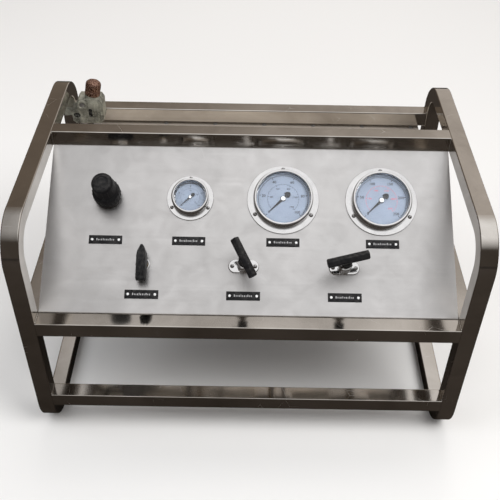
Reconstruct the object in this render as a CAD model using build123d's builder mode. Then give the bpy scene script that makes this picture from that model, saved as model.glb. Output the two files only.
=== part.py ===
"""Air-driven hydraulic test unit: tube frame, sloping control panel, tank and pump.

Millimetres. X points right as the operator faces the panel, Y points to the
rear and Z points up. The origin is on the floor, below the frame's centre.
"""
import os
from math import atan2, cos, hypot, radians, sin, tan

from build123d import *

# ---------------------------------------------------------------- frame
FRAME_WIDTH = 800.0
FRAME_DEPTH = 540.0
FRAME_HEIGHT = 500.0
TUBE = 30.0
TUBE_WALL = 1.5
TUBE_CORNER = 2.0
BEND_RADIUS = 75.0            # outside of the bent side loops
MID_RAIL_Z = 270.0            # underside of the middle rails
TOP_RAIL_SETBACK = 299.0      # front plane to the front top rail
REAR_RAIL_DROP = 2.0          # rear top rail below the end of the bend
BASE_RAIL_SETBACK = 295.0     # front plane to the first base rail
BASE_RAIL_INSET = 110.0       # rear plane to the front of the second one
BASE_PLATE_LIP = 8.0          # plate in front of the first base rail
BASE_PLATE_T = 4.0
BASE_PLATE_GAP = 5.0

# ---------------------------------------------------------------- panel
PANEL_T = 2.0
PANEL_SIDE_GAP = 1.0
PANEL_RETURN = 14.0
PANEL_RISE = 2.0              # panel edge above the middle rail
PANEL_OVERLAP = 1.5           # panel edge above the top rail's underside
UPPER_ROW = 216.0             # up the slope from the panel's lower edge
UPPER_LEGENDS = 134.0
LOWER_ROW = 88.0
LOWER_LEGENDS = 34.0
REGULATOR_X = -260.0
AIR_GAUGE_X = -110.0
LOW_GAUGE_X = 60.0
HIGH_GAUGE_X = 240.0
SWITCH_X = -190.0
UNLOADING_X = -10.0
PRESSURE_X = 170.0
LEGEND_W = 60.0
LEGEND_H = 16.0
LEGEND_T = 1.2
RIVET_INSET = 6.0
RIVET_R = 2.4
RIVET_H = 0.9

# ---------------------------------------------------------------- gauges
LARGE_CAN_R = 50.5
SMALL_CAN_R = 30.5


def gauge_size(can_r, bezel, screw_circle, flange, depth, stem_r, screw_r):
    """Radii of one gauge: its bezel, screw circle and flange lie outside its can."""
    return dict(can_r=can_r, bezel_r=can_r + bezel, holes_r=can_r + screw_circle,
                flange_r=can_r + flange, depth=depth, stem_r=stem_r, screw_r=screw_r)


LARGE_GAUGE = gauge_size(LARGE_CAN_R, 4.0, 8.5, 15.5, 38.0, 8.0, 2.0)
SMALL_GAUGE = gauge_size(SMALL_CAN_R, 3.5, 7.5, 12.5, 30.0, 6.5, 1.6)
GAUGE_WALL = 2.0
FLANGE_T = 2.0
COLLAR_H = 10.0
LENS_T = 3.0
LIP_T = 4.0
LIP_IN = 1.5                  # bezel lip inside the can's radius
DIAL_H = 3.0
DIAL_T = 1.0
STEM_OUT = 30.0               # gauge stem behind its can
ARBOR_R = 1.5
ZERO_ANGLE = 225.0
NEEDLE_REACH = 0.72           # needle tip, as a share of the can's radius
NEEDLE_TAIL = 0.34
PANEL_SCREW_R = 2.0
SCREW_HEAD = 1.8              # head beyond the shank all round
SCREW_HEAD_H = 2.2
SCREW_L = 12.0
SLOT_W = 1.0
SLOT_DEPTH = 1.0
HOLE_CLEARANCE = 0.5
RUN = 0.05                    # radial running clearance
GAP = 0.3                     # clearance between curved faces

# ---------------------------------------------------------------- regulator
NECK_R = 15.0
KNOB_SKIRT_R = 25.0
KNOB_CAP_R = 19.5
KNOB_H = 74.0
NUT_H = 8.0
REG_BODY = 56.0
REG_BODY_H = 50.0
REG_BONNET_R = 24.0
REG_BONNET_H = 26.0
SPINDLE_R = 5.0

# ---------------------------------------------------------------- drive switch
SWITCH_BODY_R = 17.0
SWITCH_BODY_L = 60.0
SWITCH_AXIS_H = -40.0
SWITCH_NECK_R = 9.0
BALL_R = 12.0
BALL_BORE_R = 7.0
SWITCH_STEM_R = 5.0
SWITCH_HANDLE_L = 64.0
SWITCH_HANDLE_W = 20.0
SWITCH_HANDLE_TOP = 36.0
SWITCH_TAIL = 34.0

# ---------------------------------------------------------------- needle valves
VALVE_PLATE_L = 58.0
VALVE_PLATE_W = 26.0
VALVE_PLATE_T = 2.5
VALVE_SCREWS = 41.0
VALVE_BLOCK = 30.0
VALVE_BLOCK_H = 54.0
VALVE_PORT_H = -40.0
VALVE_NECK_R = 9.0
VALVE_STEM_R = 5.0
GLAND_AF = 22.0
GLAND_TOP = 24.0
BAR_L = 74.0
BAR_AF = 15.0
BAR_H = 61.0
UNLOADING_ANGLE = 116.8
PRESSURE_ANGLE = 14.3
PORT_R = 3.0
ORIFICE_R = 1.5

# ---------------------------------------------------------------- tank
TANK_TO_PUMP = 38.0
TANK_TO_SIDE = 15.0
TANK_TO_REAR = 19.0           # rear plane of the frame to the tank
TANK_DEPTH = 154.0
TANK_WALL = 2.0
LID_OVERHANG = 4.0
SHELF_GAP = 3.0               # lid's shelf to the side tube and round the air tubes
LID_TO_RAIL = 8.0
NECK_INSET_X = 105.0          # filler to the tank's right side
NECK_INSET_Y = 43.0           # filler to the tank's front
FILLER_R = 24.0
FILLER_H = 20.0
CAP_WALL = 4.0
SUPPORT_SPACING = 320.0
SUPPORT_W = 40.0

# ---------------------------------------------------------------- pump
PUMP_TO_SIDE = 13.0           # pump plates to the left inner face
PUMP_TO_REAR = 60.0           # pump plates to the rear plane
ROD_TO_BLOCK = 13.0           # tie rod's axis to the hydraulic block's side
HYDRAULIC_H = 106.0
PLATE_MARGIN = 2.0            # pump plates beyond the cylinder
LOWER_FLANGE_T = 18.0
CYLINDER_R = 60.0
CYLINDER_WALL = 4.0
CYLINDER_H = 138.0
HEAD_PLATE_T = 20.0
SPOOL_BLOCK_X = 90.0
SPOOL_BLOCK_Y = 60.0
SPOOL_BLOCK_H = 50.0
SPOOL_R = 10.0
SPOOL_L = 60.0
SPOOL_TRAVEL = 8.0
TIE_ROD_R = 4.0
TIE_ROD_INSET = 11.0
TIE_NUT_AF = 14.0
PISTON_T = 16.0
PISTON_FLOOR = 6.0
PLUNGER_R = 12.0
PLUNGER_CLEAR = 2.0           # plunger above the suction bore
PUMP_STROKE = 60.0
CHECK_AF = 24.0
CHECK_L = 34.0
SUCTION_CHECK_Z = 64.0
OUTLET_CHECK_Z = 100.0

# ---------------------------------------------------------------- air inlet
MANIFOLD_W = 66.0
MANIFOLD_D = 34.0
MANIFOLD_H = 55.0
MANIFOLD_DROP = 14.0          # its underside below the rear top rail
MANIFOLD_UNDER_TUBE = 3.0     # how far it reaches under the side tube
MANIFOLD_TO_RAIL = 2.0
SUPPLY_LINE = 22.0            # air tubes under the casting, from its left side
EXHAUST_LINE = 47.0
INLET_R = 9.3
INLET_DEPTH = 18.0
SILENCER_R = 15.5
SILENCER_L = 31.0
SILENCER_TILT = 12.0
SEAT_RISE = 8.5               # silencer's foot above the casting

# ---------------------------------------------------------------- outlet
PORT_PLATE_W = 90.0
PORT_PLATE_T = 4.0
PORT_PLATE_INSET = 6.0        # rear edge of the base plate to the port plate
OUTLET_INSET = 50.0           # right inner face to the outlet
OUTLET_Z = 60.0
OUTLET_R = 9.2
OUTLET_L = 30.0
OUTLET_AF = 27.0

# ---------------------------------------------------------------- tubing
AIR_TUBE_R = 5.0
HP_TUBE_R = 4.0
SUCTION_TUBE_R = 7.0
TUBE_NUT_L = 12.0
BLOCK_L = 56.0
BLOCK_SECTION = 36.0

# ---------------------------------------------------------------- derived places
HALF_W = FRAME_WIDTH / 2
INNER_X = HALF_W - TUBE
FRONT_Y = -FRAME_DEPTH / 2
REAR_Y = FRAME_DEPTH / 2
LOW_RAIL_Z = BEND_RADIUS
TOP_RAIL_Y = FRONT_Y + TOP_RAIL_SETBACK
REAR_RAIL_TOP = FRAME_HEIGHT - BEND_RADIUS - REAR_RAIL_DROP
BASE_TOP = TUBE + BASE_PLATE_T
BASE_RAILS = (FRONT_Y + BASE_RAIL_SETBACK, REAR_Y - BASE_RAIL_INSET)
BASE_FRONT = BASE_RAILS[0] - BASE_PLATE_LIP
BASE_REAR = REAR_Y - TUBE - BASE_PLATE_GAP

PANEL_FOOT = (FRONT_Y + TUBE, MID_RAIL_Z + TUBE + PANEL_RISE)
PANEL_HEAD = (TOP_RAIL_Y, FRAME_HEIGHT - TUBE + PANEL_OVERLAP)
SLOPE = atan2(PANEL_HEAD[1] - PANEL_FOOT[1], PANEL_HEAD[0] - PANEL_FOOT[0])
PANEL_LENGTH = hypot(PANEL_HEAD[0] - PANEL_FOOT[0], PANEL_HEAD[1] - PANEL_FOOT[1])
PANEL_W = 2 * (INNER_X - PANEL_SIDE_GAP)
PANEL = Plane(
    origin=(0, PANEL_FOOT[0], PANEL_FOOT[1]),
    x_dir=(1, 0, 0),
    z_dir=(0, -sin(SLOPE), cos(SLOPE)),
)

PUMP_PLATE = 2 * (CYLINDER_R + PLATE_MARGIN)
HYDRAULIC_BLOCK = PUMP_PLATE - 2 * (TIE_ROD_INSET + ROD_TO_BLOCK)
PUMP_X = -INNER_X + PUMP_TO_SIDE + PUMP_PLATE / 2
PUMP_Y = REAR_Y - PUMP_TO_REAR - PUMP_PLATE / 2
TANK_LEFT = PUMP_X + PUMP_PLATE / 2 + TANK_TO_PUMP
TANK_RIGHT = INNER_X - TANK_TO_SIDE
TANK_REAR = REAR_Y - TANK_TO_REAR
TANK_FRONT = TANK_REAR - TANK_DEPTH
NECK_X = TANK_RIGHT - NECK_INSET_X
NECK_Y = TANK_FRONT + NECK_INSET_Y
OUTLET_X = INNER_X - OUTLET_INSET
PORT_PLATE_Y = BASE_REAR - PORT_PLATE_INSET
TANK_BOTTOM = LOW_RAIL_Z + TUBE
LID_TOP = REAR_RAIL_TOP - TUBE - LID_TO_RAIL
TANK_TOP = LID_TOP - TANK_WALL
FLANGE_Z = BASE_TOP + HYDRAULIC_H
CYLINDER_Z = FLANGE_Z + LOWER_FLANGE_T
HEAD_Z = CYLINDER_Z + CYLINDER_H
SPOOL_BLOCK_Z = HEAD_Z + HEAD_PLATE_T
SPOOL_Z = SPOOL_BLOCK_Z + SPOOL_BLOCK_H / 2
MANIFOLD_Z = REAR_RAIL_TOP - MANIFOLD_DROP
MANIFOLD_X = -INNER_X - MANIFOLD_UNDER_TUBE
MANIFOLD_REAR = REAR_Y - TUBE - MANIFOLD_TO_RAIL
MANIFOLD_FRONT = MANIFOLD_REAR - MANIFOLD_D
MANIFOLD_MID_Y = (MANIFOLD_FRONT + MANIFOLD_REAR) / 2

nodes = {}


def keep(part, label):
    """Name a finished part and remember it for export."""
    part.part.label = label
    nodes[label] = part.part


def station(x, up, height=0.0):
    """Plane on the panel at x and up the slope, with Z out of the panel."""
    return Plane(
        origin=PANEL.from_local_coords((x, up, height)),
        x_dir=PANEL.x_dir,
        z_dir=PANEL.z_dir,
    )


def on_panel(x, up, height):
    """Point in the model for a point given in the panel's own directions."""
    return PANEL.from_local_coords(Vector(x, up, height))


def side_view(place):
    """Plane for turned profiles: X is the radius and Y the height of place."""
    return Plane(origin=place.origin, x_dir=place.x_dir, z_dir=-place.y_dir)


def centre_line(place):
    """Axis of the turned parts that stand on place."""
    return Axis(place.origin, place.z_dir)


def rail(label, axis, length, centre):
    """Square tube along X or Y, open at its welded ends."""
    turned = Plane(origin=centre, x_dir=(0, 1, 0) if axis == "X" else (1, 0, 0),
                   z_dir=(1, 0, 0) if axis == "X" else (0, 1, 0))
    with BuildPart() as tube:
        with BuildSketch(turned):
            RectangleRounded(TUBE, TUBE, TUBE_CORNER)
            Rectangle(TUBE - 2 * TUBE_WALL, TUBE - 2 * TUBE_WALL, mode=Mode.SUBTRACT)
        extrude(amount=length / 2, both=True)
    keep(tube, label)


# ================================================================ frame
for name, side in (("side_loop_left", -1), ("side_loop_right", 1)):
    loop_plane = Plane.YZ.offset(side * (HALF_W - TUBE / 2))
    with BuildPart() as loop:
        with BuildSketch(loop_plane):
            with Locations((0, FRAME_HEIGHT / 2)):
                RectangleRounded(FRAME_DEPTH, FRAME_HEIGHT, BEND_RADIUS)
                RectangleRounded(FRAME_DEPTH - 2 * TUBE, FRAME_HEIGHT - 2 * TUBE,
                                 BEND_RADIUS - TUBE, mode=Mode.SUBTRACT)
        extrude(amount=TUBE / 2, both=True)
        fillet(loop.edges().filter_by(Axis.X, reverse=True), TUBE_CORNER)
        with BuildSketch(loop_plane):
            with Locations((0, FRAME_HEIGHT / 2)):
                RectangleRounded(FRAME_DEPTH - 2 * TUBE_WALL, FRAME_HEIGHT - 2 * TUBE_WALL,
                                 BEND_RADIUS - TUBE_WALL)
                RectangleRounded(FRAME_DEPTH - 2 * (TUBE - TUBE_WALL),
                                 FRAME_HEIGHT - 2 * (TUBE - TUBE_WALL),
                                 BEND_RADIUS - TUBE + TUBE_WALL, mode=Mode.SUBTRACT)
        extrude(amount=TUBE / 2 - TUBE_WALL, both=True, mode=Mode.SUBTRACT)
    keep(loop, name)

CROSS_L = 2 * INNER_X
rail("front_bottom_rail", "X", CROSS_L, (0, FRONT_Y + TUBE / 2, LOW_RAIL_Z + TUBE / 2))
rail("rear_bottom_rail", "X", CROSS_L, (0, REAR_Y - TUBE / 2, LOW_RAIL_Z + TUBE / 2))
rail("front_mid_rail", "X", CROSS_L, (0, FRONT_Y + TUBE / 2, MID_RAIL_Z + TUBE / 2))
rail("front_top_rail", "X", CROSS_L, (0, TOP_RAIL_Y + TUBE / 2, FRAME_HEIGHT - TUBE / 2))
rail("rear_top_rail", "X", CROSS_L, (0, REAR_Y - TUBE / 2, REAR_RAIL_TOP - TUBE / 2))
for name, side in (("left_mid_rail", -1), ("right_mid_rail", 1)):
    rail(name, "Y", FRAME_DEPTH - 2 * TUBE, (side * (HALF_W - TUBE / 2), 0, MID_RAIL_Z + TUBE / 2))

with BuildPart() as base_rails:
    for rail_front in BASE_RAILS:
        with BuildSketch(Plane.YZ.offset(-INNER_X)):
            with Locations((rail_front + TUBE / 2, TUBE / 2)):
                RectangleRounded(TUBE, TUBE, TUBE_CORNER)
                Rectangle(TUBE - 2 * TUBE_WALL, TUBE - 2 * TUBE_WALL, mode=Mode.SUBTRACT)
    extrude(amount=CROSS_L)
keep(base_rails, "base_rails")

with BuildPart() as base_plate:
    with BuildSketch(Plane.XY.offset(TUBE)):
        with Locations((0, (BASE_FRONT + BASE_REAR) / 2)):
            Rectangle(2 * (INNER_X - BASE_PLATE_GAP), BASE_REAR - BASE_FRONT)
    extrude(amount=BASE_PLATE_T)
keep(base_plate, "base_plate")

# ================================================================ control panel
legend_spots = [(x, UPPER_LEGENDS) for x in (REGULATOR_X, AIR_GAUGE_X, LOW_GAUGE_X, HIGH_GAUGE_X)]
legend_spots += [(x, LOWER_LEGENDS) for x in (SWITCH_X, UNLOADING_X, PRESSURE_X)]
gauges = (
    ("air", AIR_GAUGE_X, SMALL_GAUGE),
    ("low", LOW_GAUGE_X, LARGE_GAUGE),
    ("high", HIGH_GAUGE_X, LARGE_GAUGE),
)
needle_valves = (
    ("unloading", UNLOADING_X, UNLOADING_ANGLE),
    ("pressure", PRESSURE_X, PRESSURE_ANGLE),
)

with BuildPart() as control_panel:
    sheet_length = PANEL_LENGTH - PANEL_T * tan(SLOPE)
    with BuildSketch(PANEL):
        with Locations((0, sheet_length / 2)):
            Rectangle(PANEL_W, sheet_length)
        for _, x, size in gauges:
            with Locations((x, UPPER_ROW)):
                Circle(size["can_r"] + HOLE_CLEARANCE, mode=Mode.SUBTRACT)
                with PolarLocations(size["holes_r"], 3, start_angle=90):
                    Circle(size["screw_r"] + GAP, mode=Mode.SUBTRACT)
        with Locations((REGULATOR_X, UPPER_ROW)):
            Circle(NECK_R + HOLE_CLEARANCE, mode=Mode.SUBTRACT)
        with Locations((SWITCH_X, LOWER_ROW)):
            Circle(SWITCH_NECK_R + HOLE_CLEARANCE, mode=Mode.SUBTRACT)
        for _, x, _angle in needle_valves:
            with Locations((x, LOWER_ROW)):
                Circle(VALVE_NECK_R + HOLE_CLEARANCE, mode=Mode.SUBTRACT)
                with GridLocations(VALVE_SCREWS, 0, 2, 1):
                    Circle(PANEL_SCREW_R + GAP, mode=Mode.SUBTRACT)
    extrude(amount=-PANEL_T)
    # folded edges: a hook behind the middle rail, one behind the top rail, two sides
    with BuildSketch(Plane.YZ.offset(-PANEL_W / 2)):
        foot_y, foot_z = PANEL_FOOT
        with BuildLine():
            Polyline(
                (foot_y, foot_z),
                (foot_y, foot_z - PANEL_RETURN),
                (foot_y + PANEL_T, foot_z - PANEL_RETURN),
                (foot_y + PANEL_T, foot_z + PANEL_T * (sin(SLOPE) - 1) / cos(SLOPE)),
                (foot_y + 2 * PANEL_T, foot_z),
                close=True,
            )
        make_face()
    extrude(amount=PANEL_W)
    with BuildSketch(Plane.YZ.offset(-PANEL_W / 2)):
        head_y, head_z = PANEL_HEAD
        with BuildLine():
            Polyline(
                (head_y, head_z),
                (head_y, head_z - PANEL_RETURN),
                (head_y - PANEL_T, head_z - PANEL_RETURN),
                (head_y - PANEL_T, head_z - PANEL_T),
                close=True,
            )
        make_face()
    extrude(amount=PANEL_W)
    with BuildSketch(PANEL.offset(-PANEL_T)):
        for side in (-1, 1):
            with Locations((side * (PANEL_W - PANEL_T) / 2, PANEL_LENGTH / 2)):
                Rectangle(PANEL_T, PANEL_LENGTH - 6 * PANEL_T)
    extrude(amount=-(PANEL_RETURN - PANEL_T))
keep(control_panel, "control_panel")

with BuildPart() as legend_plates:
    with BuildSketch(PANEL):
        with Locations(*legend_spots):
            RectangleRounded(LEGEND_W, LEGEND_H, 1.0)
    extrude(amount=LEGEND_T)
keep(legend_plates, "legend_plates")

with BuildPart() as legend_rivets:
    with BuildSketch(PANEL.offset(LEGEND_T)):
        with Locations(*legend_spots):
            with GridLocations(LEGEND_W - 2 * RIVET_INSET, 0, 2, 1):
                Circle(RIVET_R)
    extrude(amount=RIVET_H)
    chamfer(legend_rivets.faces().sort_by(Axis(PANEL.origin, PANEL.z_dir))[-14:].edges(), 0.3)
keep(legend_rivets, "legend_rivets")

# ================================================================ gauges
gauge_cases = []
gauge_bezels = []
gauge_lenses = []
gauge_dials = []
gauge_movements = []
gauge_screws = []
NEEDLE_H = DIAL_H + DIAL_T + 1.5

for name, x, size in gauges:
    place = station(x, UPPER_ROW)
    can_r, bezel_r, depth = size["can_r"], size["bezel_r"], size["depth"]
    lens_h = COLLAR_H
    bezel_top = COLLAR_H + LENS_T + LIP_T
    with BuildPart() as case:
        with BuildSketch(side_view(place)):
            with BuildLine():
                Polyline(
                    (size["stem_r"] + GAP, -depth),
                    (can_r - 3, -depth),
                    (can_r, -depth + 3),
                    (can_r, 0),
                    (size["flange_r"], 0),
                    (size["flange_r"], FLANGE_T),
                    (can_r, FLANGE_T),
                    (can_r, COLLAR_H),
                    (can_r - GAUGE_WALL, COLLAR_H),
                    (can_r - GAUGE_WALL, -depth + GAUGE_WALL),
                    (size["stem_r"] + GAP, -depth + GAUGE_WALL),
                    close=True,
                )
            make_face()
        revolve(axis=centre_line(place))
        with BuildSketch(place):
            with PolarLocations(size["holes_r"], 3, start_angle=90):
                Circle(size["screw_r"] + GAP)
        extrude(amount=FLANGE_T, mode=Mode.SUBTRACT)
    gauge_cases.append(case.part)
    with BuildPart() as bezel:
        with BuildSketch(side_view(place)):
            with BuildLine():
                Polyline(
                    (can_r + GAP, FLANGE_T),
                    (bezel_r, FLANGE_T),
                    (bezel_r, bezel_top - 2),
                    (bezel_r - 1.5, bezel_top),
                    (can_r - LIP_IN + 0.8, bezel_top),
                    (can_r - LIP_IN, bezel_top - 1),
                    (can_r - LIP_IN, lens_h + LENS_T),
                    (can_r + GAP, lens_h + LENS_T),
                    close=True,
                )
            make_face()
        revolve(axis=centre_line(place))
    gauge_bezels.append(bezel.part)
    with BuildPart() as lens:
        with BuildSketch(place.offset(lens_h)):
            Circle(can_r)
        extrude(amount=LENS_T)
    gauge_lenses.append(lens.part)
    with BuildPart() as dial:
        with BuildSketch(place.offset(DIAL_H)):
            Circle(can_r - GAUGE_WALL - HOLE_CLEARANCE)
            Circle(ARBOR_R + 1, mode=Mode.SUBTRACT)
        extrude(amount=DIAL_T)
    gauge_dials.append(dial.part)
    # socket stem, bent pressure tube and the bearing block for the needle
    tube_r = 0.62 * can_r
    with BuildPart() as movement:
        with BuildSketch(place.offset(-depth - STEM_OUT)):
            Circle(size["stem_r"])
        extrude(amount=STEM_OUT + depth - 14)
        with BuildSketch(place.offset(-14)):
            with Locations((0, -tube_r / 2)):
                Rectangle(12, tube_r + 8)
            Circle(ARBOR_R + 4)
        extrude(amount=7)
        with BuildSketch(place.offset(-14)):
            Circle(ARBOR_R + 3)
        extrude(amount=14 + DIAL_H)
        with BuildSketch(side_view(place)):
            with Locations((tube_r, -10.5)):
                Rectangle(4, 7)
        revolve(axis=centre_line(place), revolution_arc=250)
        with BuildSketch(place.offset(-14)):
            with Locations((0, -tube_r)):
                Rectangle(12, 8)
        extrude(amount=7)
        with BuildSketch(place.offset(-12)):
            Circle(ARBOR_R + RUN)
        extrude(amount=12 + DIAL_H, mode=Mode.SUBTRACT)
    gauge_movements.append(movement.part)
    with BuildPart() as needle:
        with BuildSketch(place.offset(-11)):
            Circle(ARBOR_R)
        extrude(amount=11 + NEEDLE_H)
        with BuildSketch(place.offset(NEEDLE_H)):
            with Locations(Location((0, 0, 0), (0, 0, ZERO_ANGLE))):
                reach, tail = NEEDLE_REACH * can_r, NEEDLE_TAIL * can_r
                with BuildLine():
                    Polyline((-tail, 2.6), (0, 2.0), (reach, 0.5), (reach, -0.5),
                             (0, -2.0), (-tail, -2.6), close=True)
                make_face()
            Circle(0.1 * can_r)
        extrude(amount=1.0)
        with BuildSketch(place.offset(NEEDLE_H + 1.0)):
            Circle(0.09 * can_r)
        extrude(amount=1.6)
    keep(needle, f"{name}_gauge_needle")
    with BuildPart() as screws:
        with BuildSketch(place.offset(FLANGE_T)):
            with PolarLocations(size["holes_r"], 3, start_angle=90):
                Circle(size["screw_r"] + SCREW_HEAD)
        extrude(amount=SCREW_HEAD_H)
        with BuildSketch(place.offset(FLANGE_T)):
            with PolarLocations(size["holes_r"], 3, start_angle=90):
                Circle(size["screw_r"])
        extrude(amount=-SCREW_L)
        with BuildSketch(place.offset(FLANGE_T + SCREW_HEAD_H - SLOT_DEPTH)):
            with PolarLocations(size["holes_r"], 3, start_angle=90):
                Rectangle(2 * (size["screw_r"] + SCREW_HEAD), SLOT_W)
        extrude(amount=2, mode=Mode.SUBTRACT)
    gauge_screws.append(screws.part)


def gather(label, parts):
    """Keep like pieces in one node, each still its own solid."""
    solids = [solid for part in parts for solid in part.solids()]
    group = Compound(children=solids) if len(solids) > 1 else solids[0]
    group.label = label
    nodes[label] = group


gather("gauge_cases", gauge_cases)
gather("gauge_bezels", gauge_bezels)
gather("gauge_lenses", gauge_lenses)
gather("gauge_dials", gauge_dials)
gather("gauge_movements", gauge_movements)
gather("gauge_screws", gauge_screws)

# ================================================================ air regulator
reg = station(REGULATOR_X, UPPER_ROW)
REG_BODY_TOP = -PANEL_T - REG_BONNET_H
REG_PORT_H = REG_BODY_TOP - REG_BODY_H / 2
with BuildPart() as regulator_body:
    with BuildSketch(reg.offset(REG_BODY_TOP)):
        RectangleRounded(REG_BODY, REG_BODY, 6)
    extrude(amount=-REG_BODY_H)
    with BuildSketch(reg.offset(REG_BODY_TOP)):
        Circle(REG_BONNET_R)
    extrude(amount=REG_BONNET_H)
    with BuildSketch(reg.offset(-PANEL_T)):
        Circle(NECK_R)
    extrude(amount=PANEL_T + NUT_H + 4)
    with BuildSketch(reg.offset(NUT_H + 4)):
        Circle(SPINDLE_R + RUN)
    extrude(amount=-(NUT_H + 4 + 40), mode=Mode.SUBTRACT)
keep(regulator_body, "regulator_body")

with BuildPart() as regulator_nut:
    with BuildSketch(reg):
        RegularPolygon(KNOB_SKIRT_R - 4, 8)
        Circle(NECK_R + GAP, mode=Mode.SUBTRACT)
    extrude(amount=NUT_H)

with BuildPart() as regulator_spindle:
    with BuildSketch(reg.offset(-34)):
        Circle(SPINDLE_R)
    extrude(amount=34 + KNOB_H - 12)
keep(regulator_spindle, "regulator_spindle")

KNOB_FOOT = NUT_H + 1.0
with BuildPart() as regulator_knob:
    with BuildSketch(side_view(reg)):
        with BuildLine():
            Polyline(
                (NECK_R + 1.5, KNOB_FOOT),
                (KNOB_SKIRT_R, KNOB_FOOT),
                (KNOB_SKIRT_R, KNOB_FOOT + 26),
                (KNOB_SKIRT_R - 3, KNOB_FOOT + 30),
                (KNOB_CAP_R + 1, KNOB_FOOT + 32),
                (KNOB_CAP_R, KNOB_H - 4),
                (KNOB_CAP_R - 4, KNOB_H),
                (0, KNOB_H),
                (0, KNOB_H - 12),
                (SPINDLE_R, KNOB_H - 12),
                (SPINDLE_R, NUT_H + 8),
                (NECK_R + 1.5, NUT_H + 8),
                close=True,
            )
        make_face()
    revolve(axis=centre_line(reg))
    with BuildSketch(reg.offset(KNOB_FOOT)):
        with PolarLocations(KNOB_SKIRT_R + 0.6, 24):
            Circle(1.4)
    extrude(amount=26, mode=Mode.SUBTRACT)
keep(regulator_knob, "regulator_knob")

# ================================================================ drive switch
switch = station(SWITCH_X, LOWER_ROW)
switch_core = station(SWITCH_X, LOWER_ROW, SWITCH_AXIS_H)
along_x = Plane(origin=switch_core.origin, x_dir=PANEL.y_dir, z_dir=PANEL.x_dir)
with BuildPart() as switch_valve_body:
    with BuildSketch(along_x):
        Circle(SWITCH_BODY_R)
    extrude(amount=SWITCH_BODY_L / 2, both=True)
    for end in (-1, 1):
        with BuildSketch(along_x.offset(end * SWITCH_BODY_L / 2)):
            RegularPolygon(SWITCH_BODY_R + 2, 6)
        extrude(amount=-end * 12)
    with BuildSketch(switch_core):
        Circle(SWITCH_NECK_R)
    extrude(amount=-SWITCH_AXIS_H + 8)
    with BuildSketch(along_x):
        Circle(BALL_BORE_R)
    extrude(amount=SWITCH_BODY_L / 2, both=True, mode=Mode.SUBTRACT)
    with Locations(switch_core.location):
        Sphere(BALL_R + GAP, mode=Mode.SUBTRACT)
    with BuildSketch(switch_core):
        Circle(SWITCH_STEM_R + RUN)
    extrude(amount=-SWITCH_AXIS_H + 8, mode=Mode.SUBTRACT)
keep(switch_valve_body, "switch_valve_body")

with BuildPart() as switch_nut:
    with BuildSketch(switch):
        RegularPolygon(14, 6)
        Circle(SWITCH_NECK_R + GAP, mode=Mode.SUBTRACT)
    extrude(amount=6)
gather("panel_nuts", [regulator_nut.part, switch_nut.part])

with BuildPart() as switch_ball_stem:
    with Locations(switch_core.location):
        Sphere(BALL_R)
    with BuildSketch(switch_core):
        Circle(SWITCH_STEM_R)
    extrude(amount=-SWITCH_AXIS_H + 18)
    with BuildSketch(Plane(origin=switch_core.origin, x_dir=PANEL.x_dir, z_dir=PANEL.y_dir)):
        Circle(BALL_BORE_R)
    extrude(amount=BALL_R + 1, both=True, mode=Mode.SUBTRACT)
keep(switch_ball_stem, "switch_ball_stem")

with BuildPart() as switch_handle:
    with BuildSketch(Plane(origin=switch.origin, x_dir=PANEL.y_dir, z_dir=PANEL.x_dir)):
        with BuildLine():
            tip = SWITCH_HANDLE_L - SWITCH_TAIL
            Polyline(
                (-SWITCH_TAIL, 20),
                (-SWITCH_TAIL + 4, SWITCH_HANDLE_TOP - 3),
                (-SWITCH_TAIL + 10, SWITCH_HANDLE_TOP),
                (tip - 12, SWITCH_HANDLE_TOP),
                (tip, SWITCH_HANDLE_TOP - 6),
                (tip, SWITCH_HANDLE_TOP - 14),
                (tip - 14, 20),
                (10, 18),
                (10, 10),
                (-10, 10),
                (-10, 18),
                close=True,
            )
        make_face()
    extrude(amount=SWITCH_HANDLE_W / 2, both=True)
    with BuildSketch(switch.offset(8)):
        with BuildLine():
            Polyline(
                (-SWITCH_HANDLE_W / 2, -SWITCH_TAIL), (SWITCH_HANDLE_W / 2, -SWITCH_TAIL),
                (SWITCH_HANDLE_W / 2 - 1, tip - 16), (2, tip), (-2, tip),
                (-SWITCH_HANDLE_W / 2 + 1, tip - 16), close=True,
            )
        make_face()
    extrude(amount=SWITCH_HANDLE_TOP, mode=Mode.INTERSECT)
    with BuildSketch(switch.offset(8)):
        Circle(SWITCH_STEM_R)
    extrude(amount=10, mode=Mode.SUBTRACT)
keep(switch_handle, "switch_handle")

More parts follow.
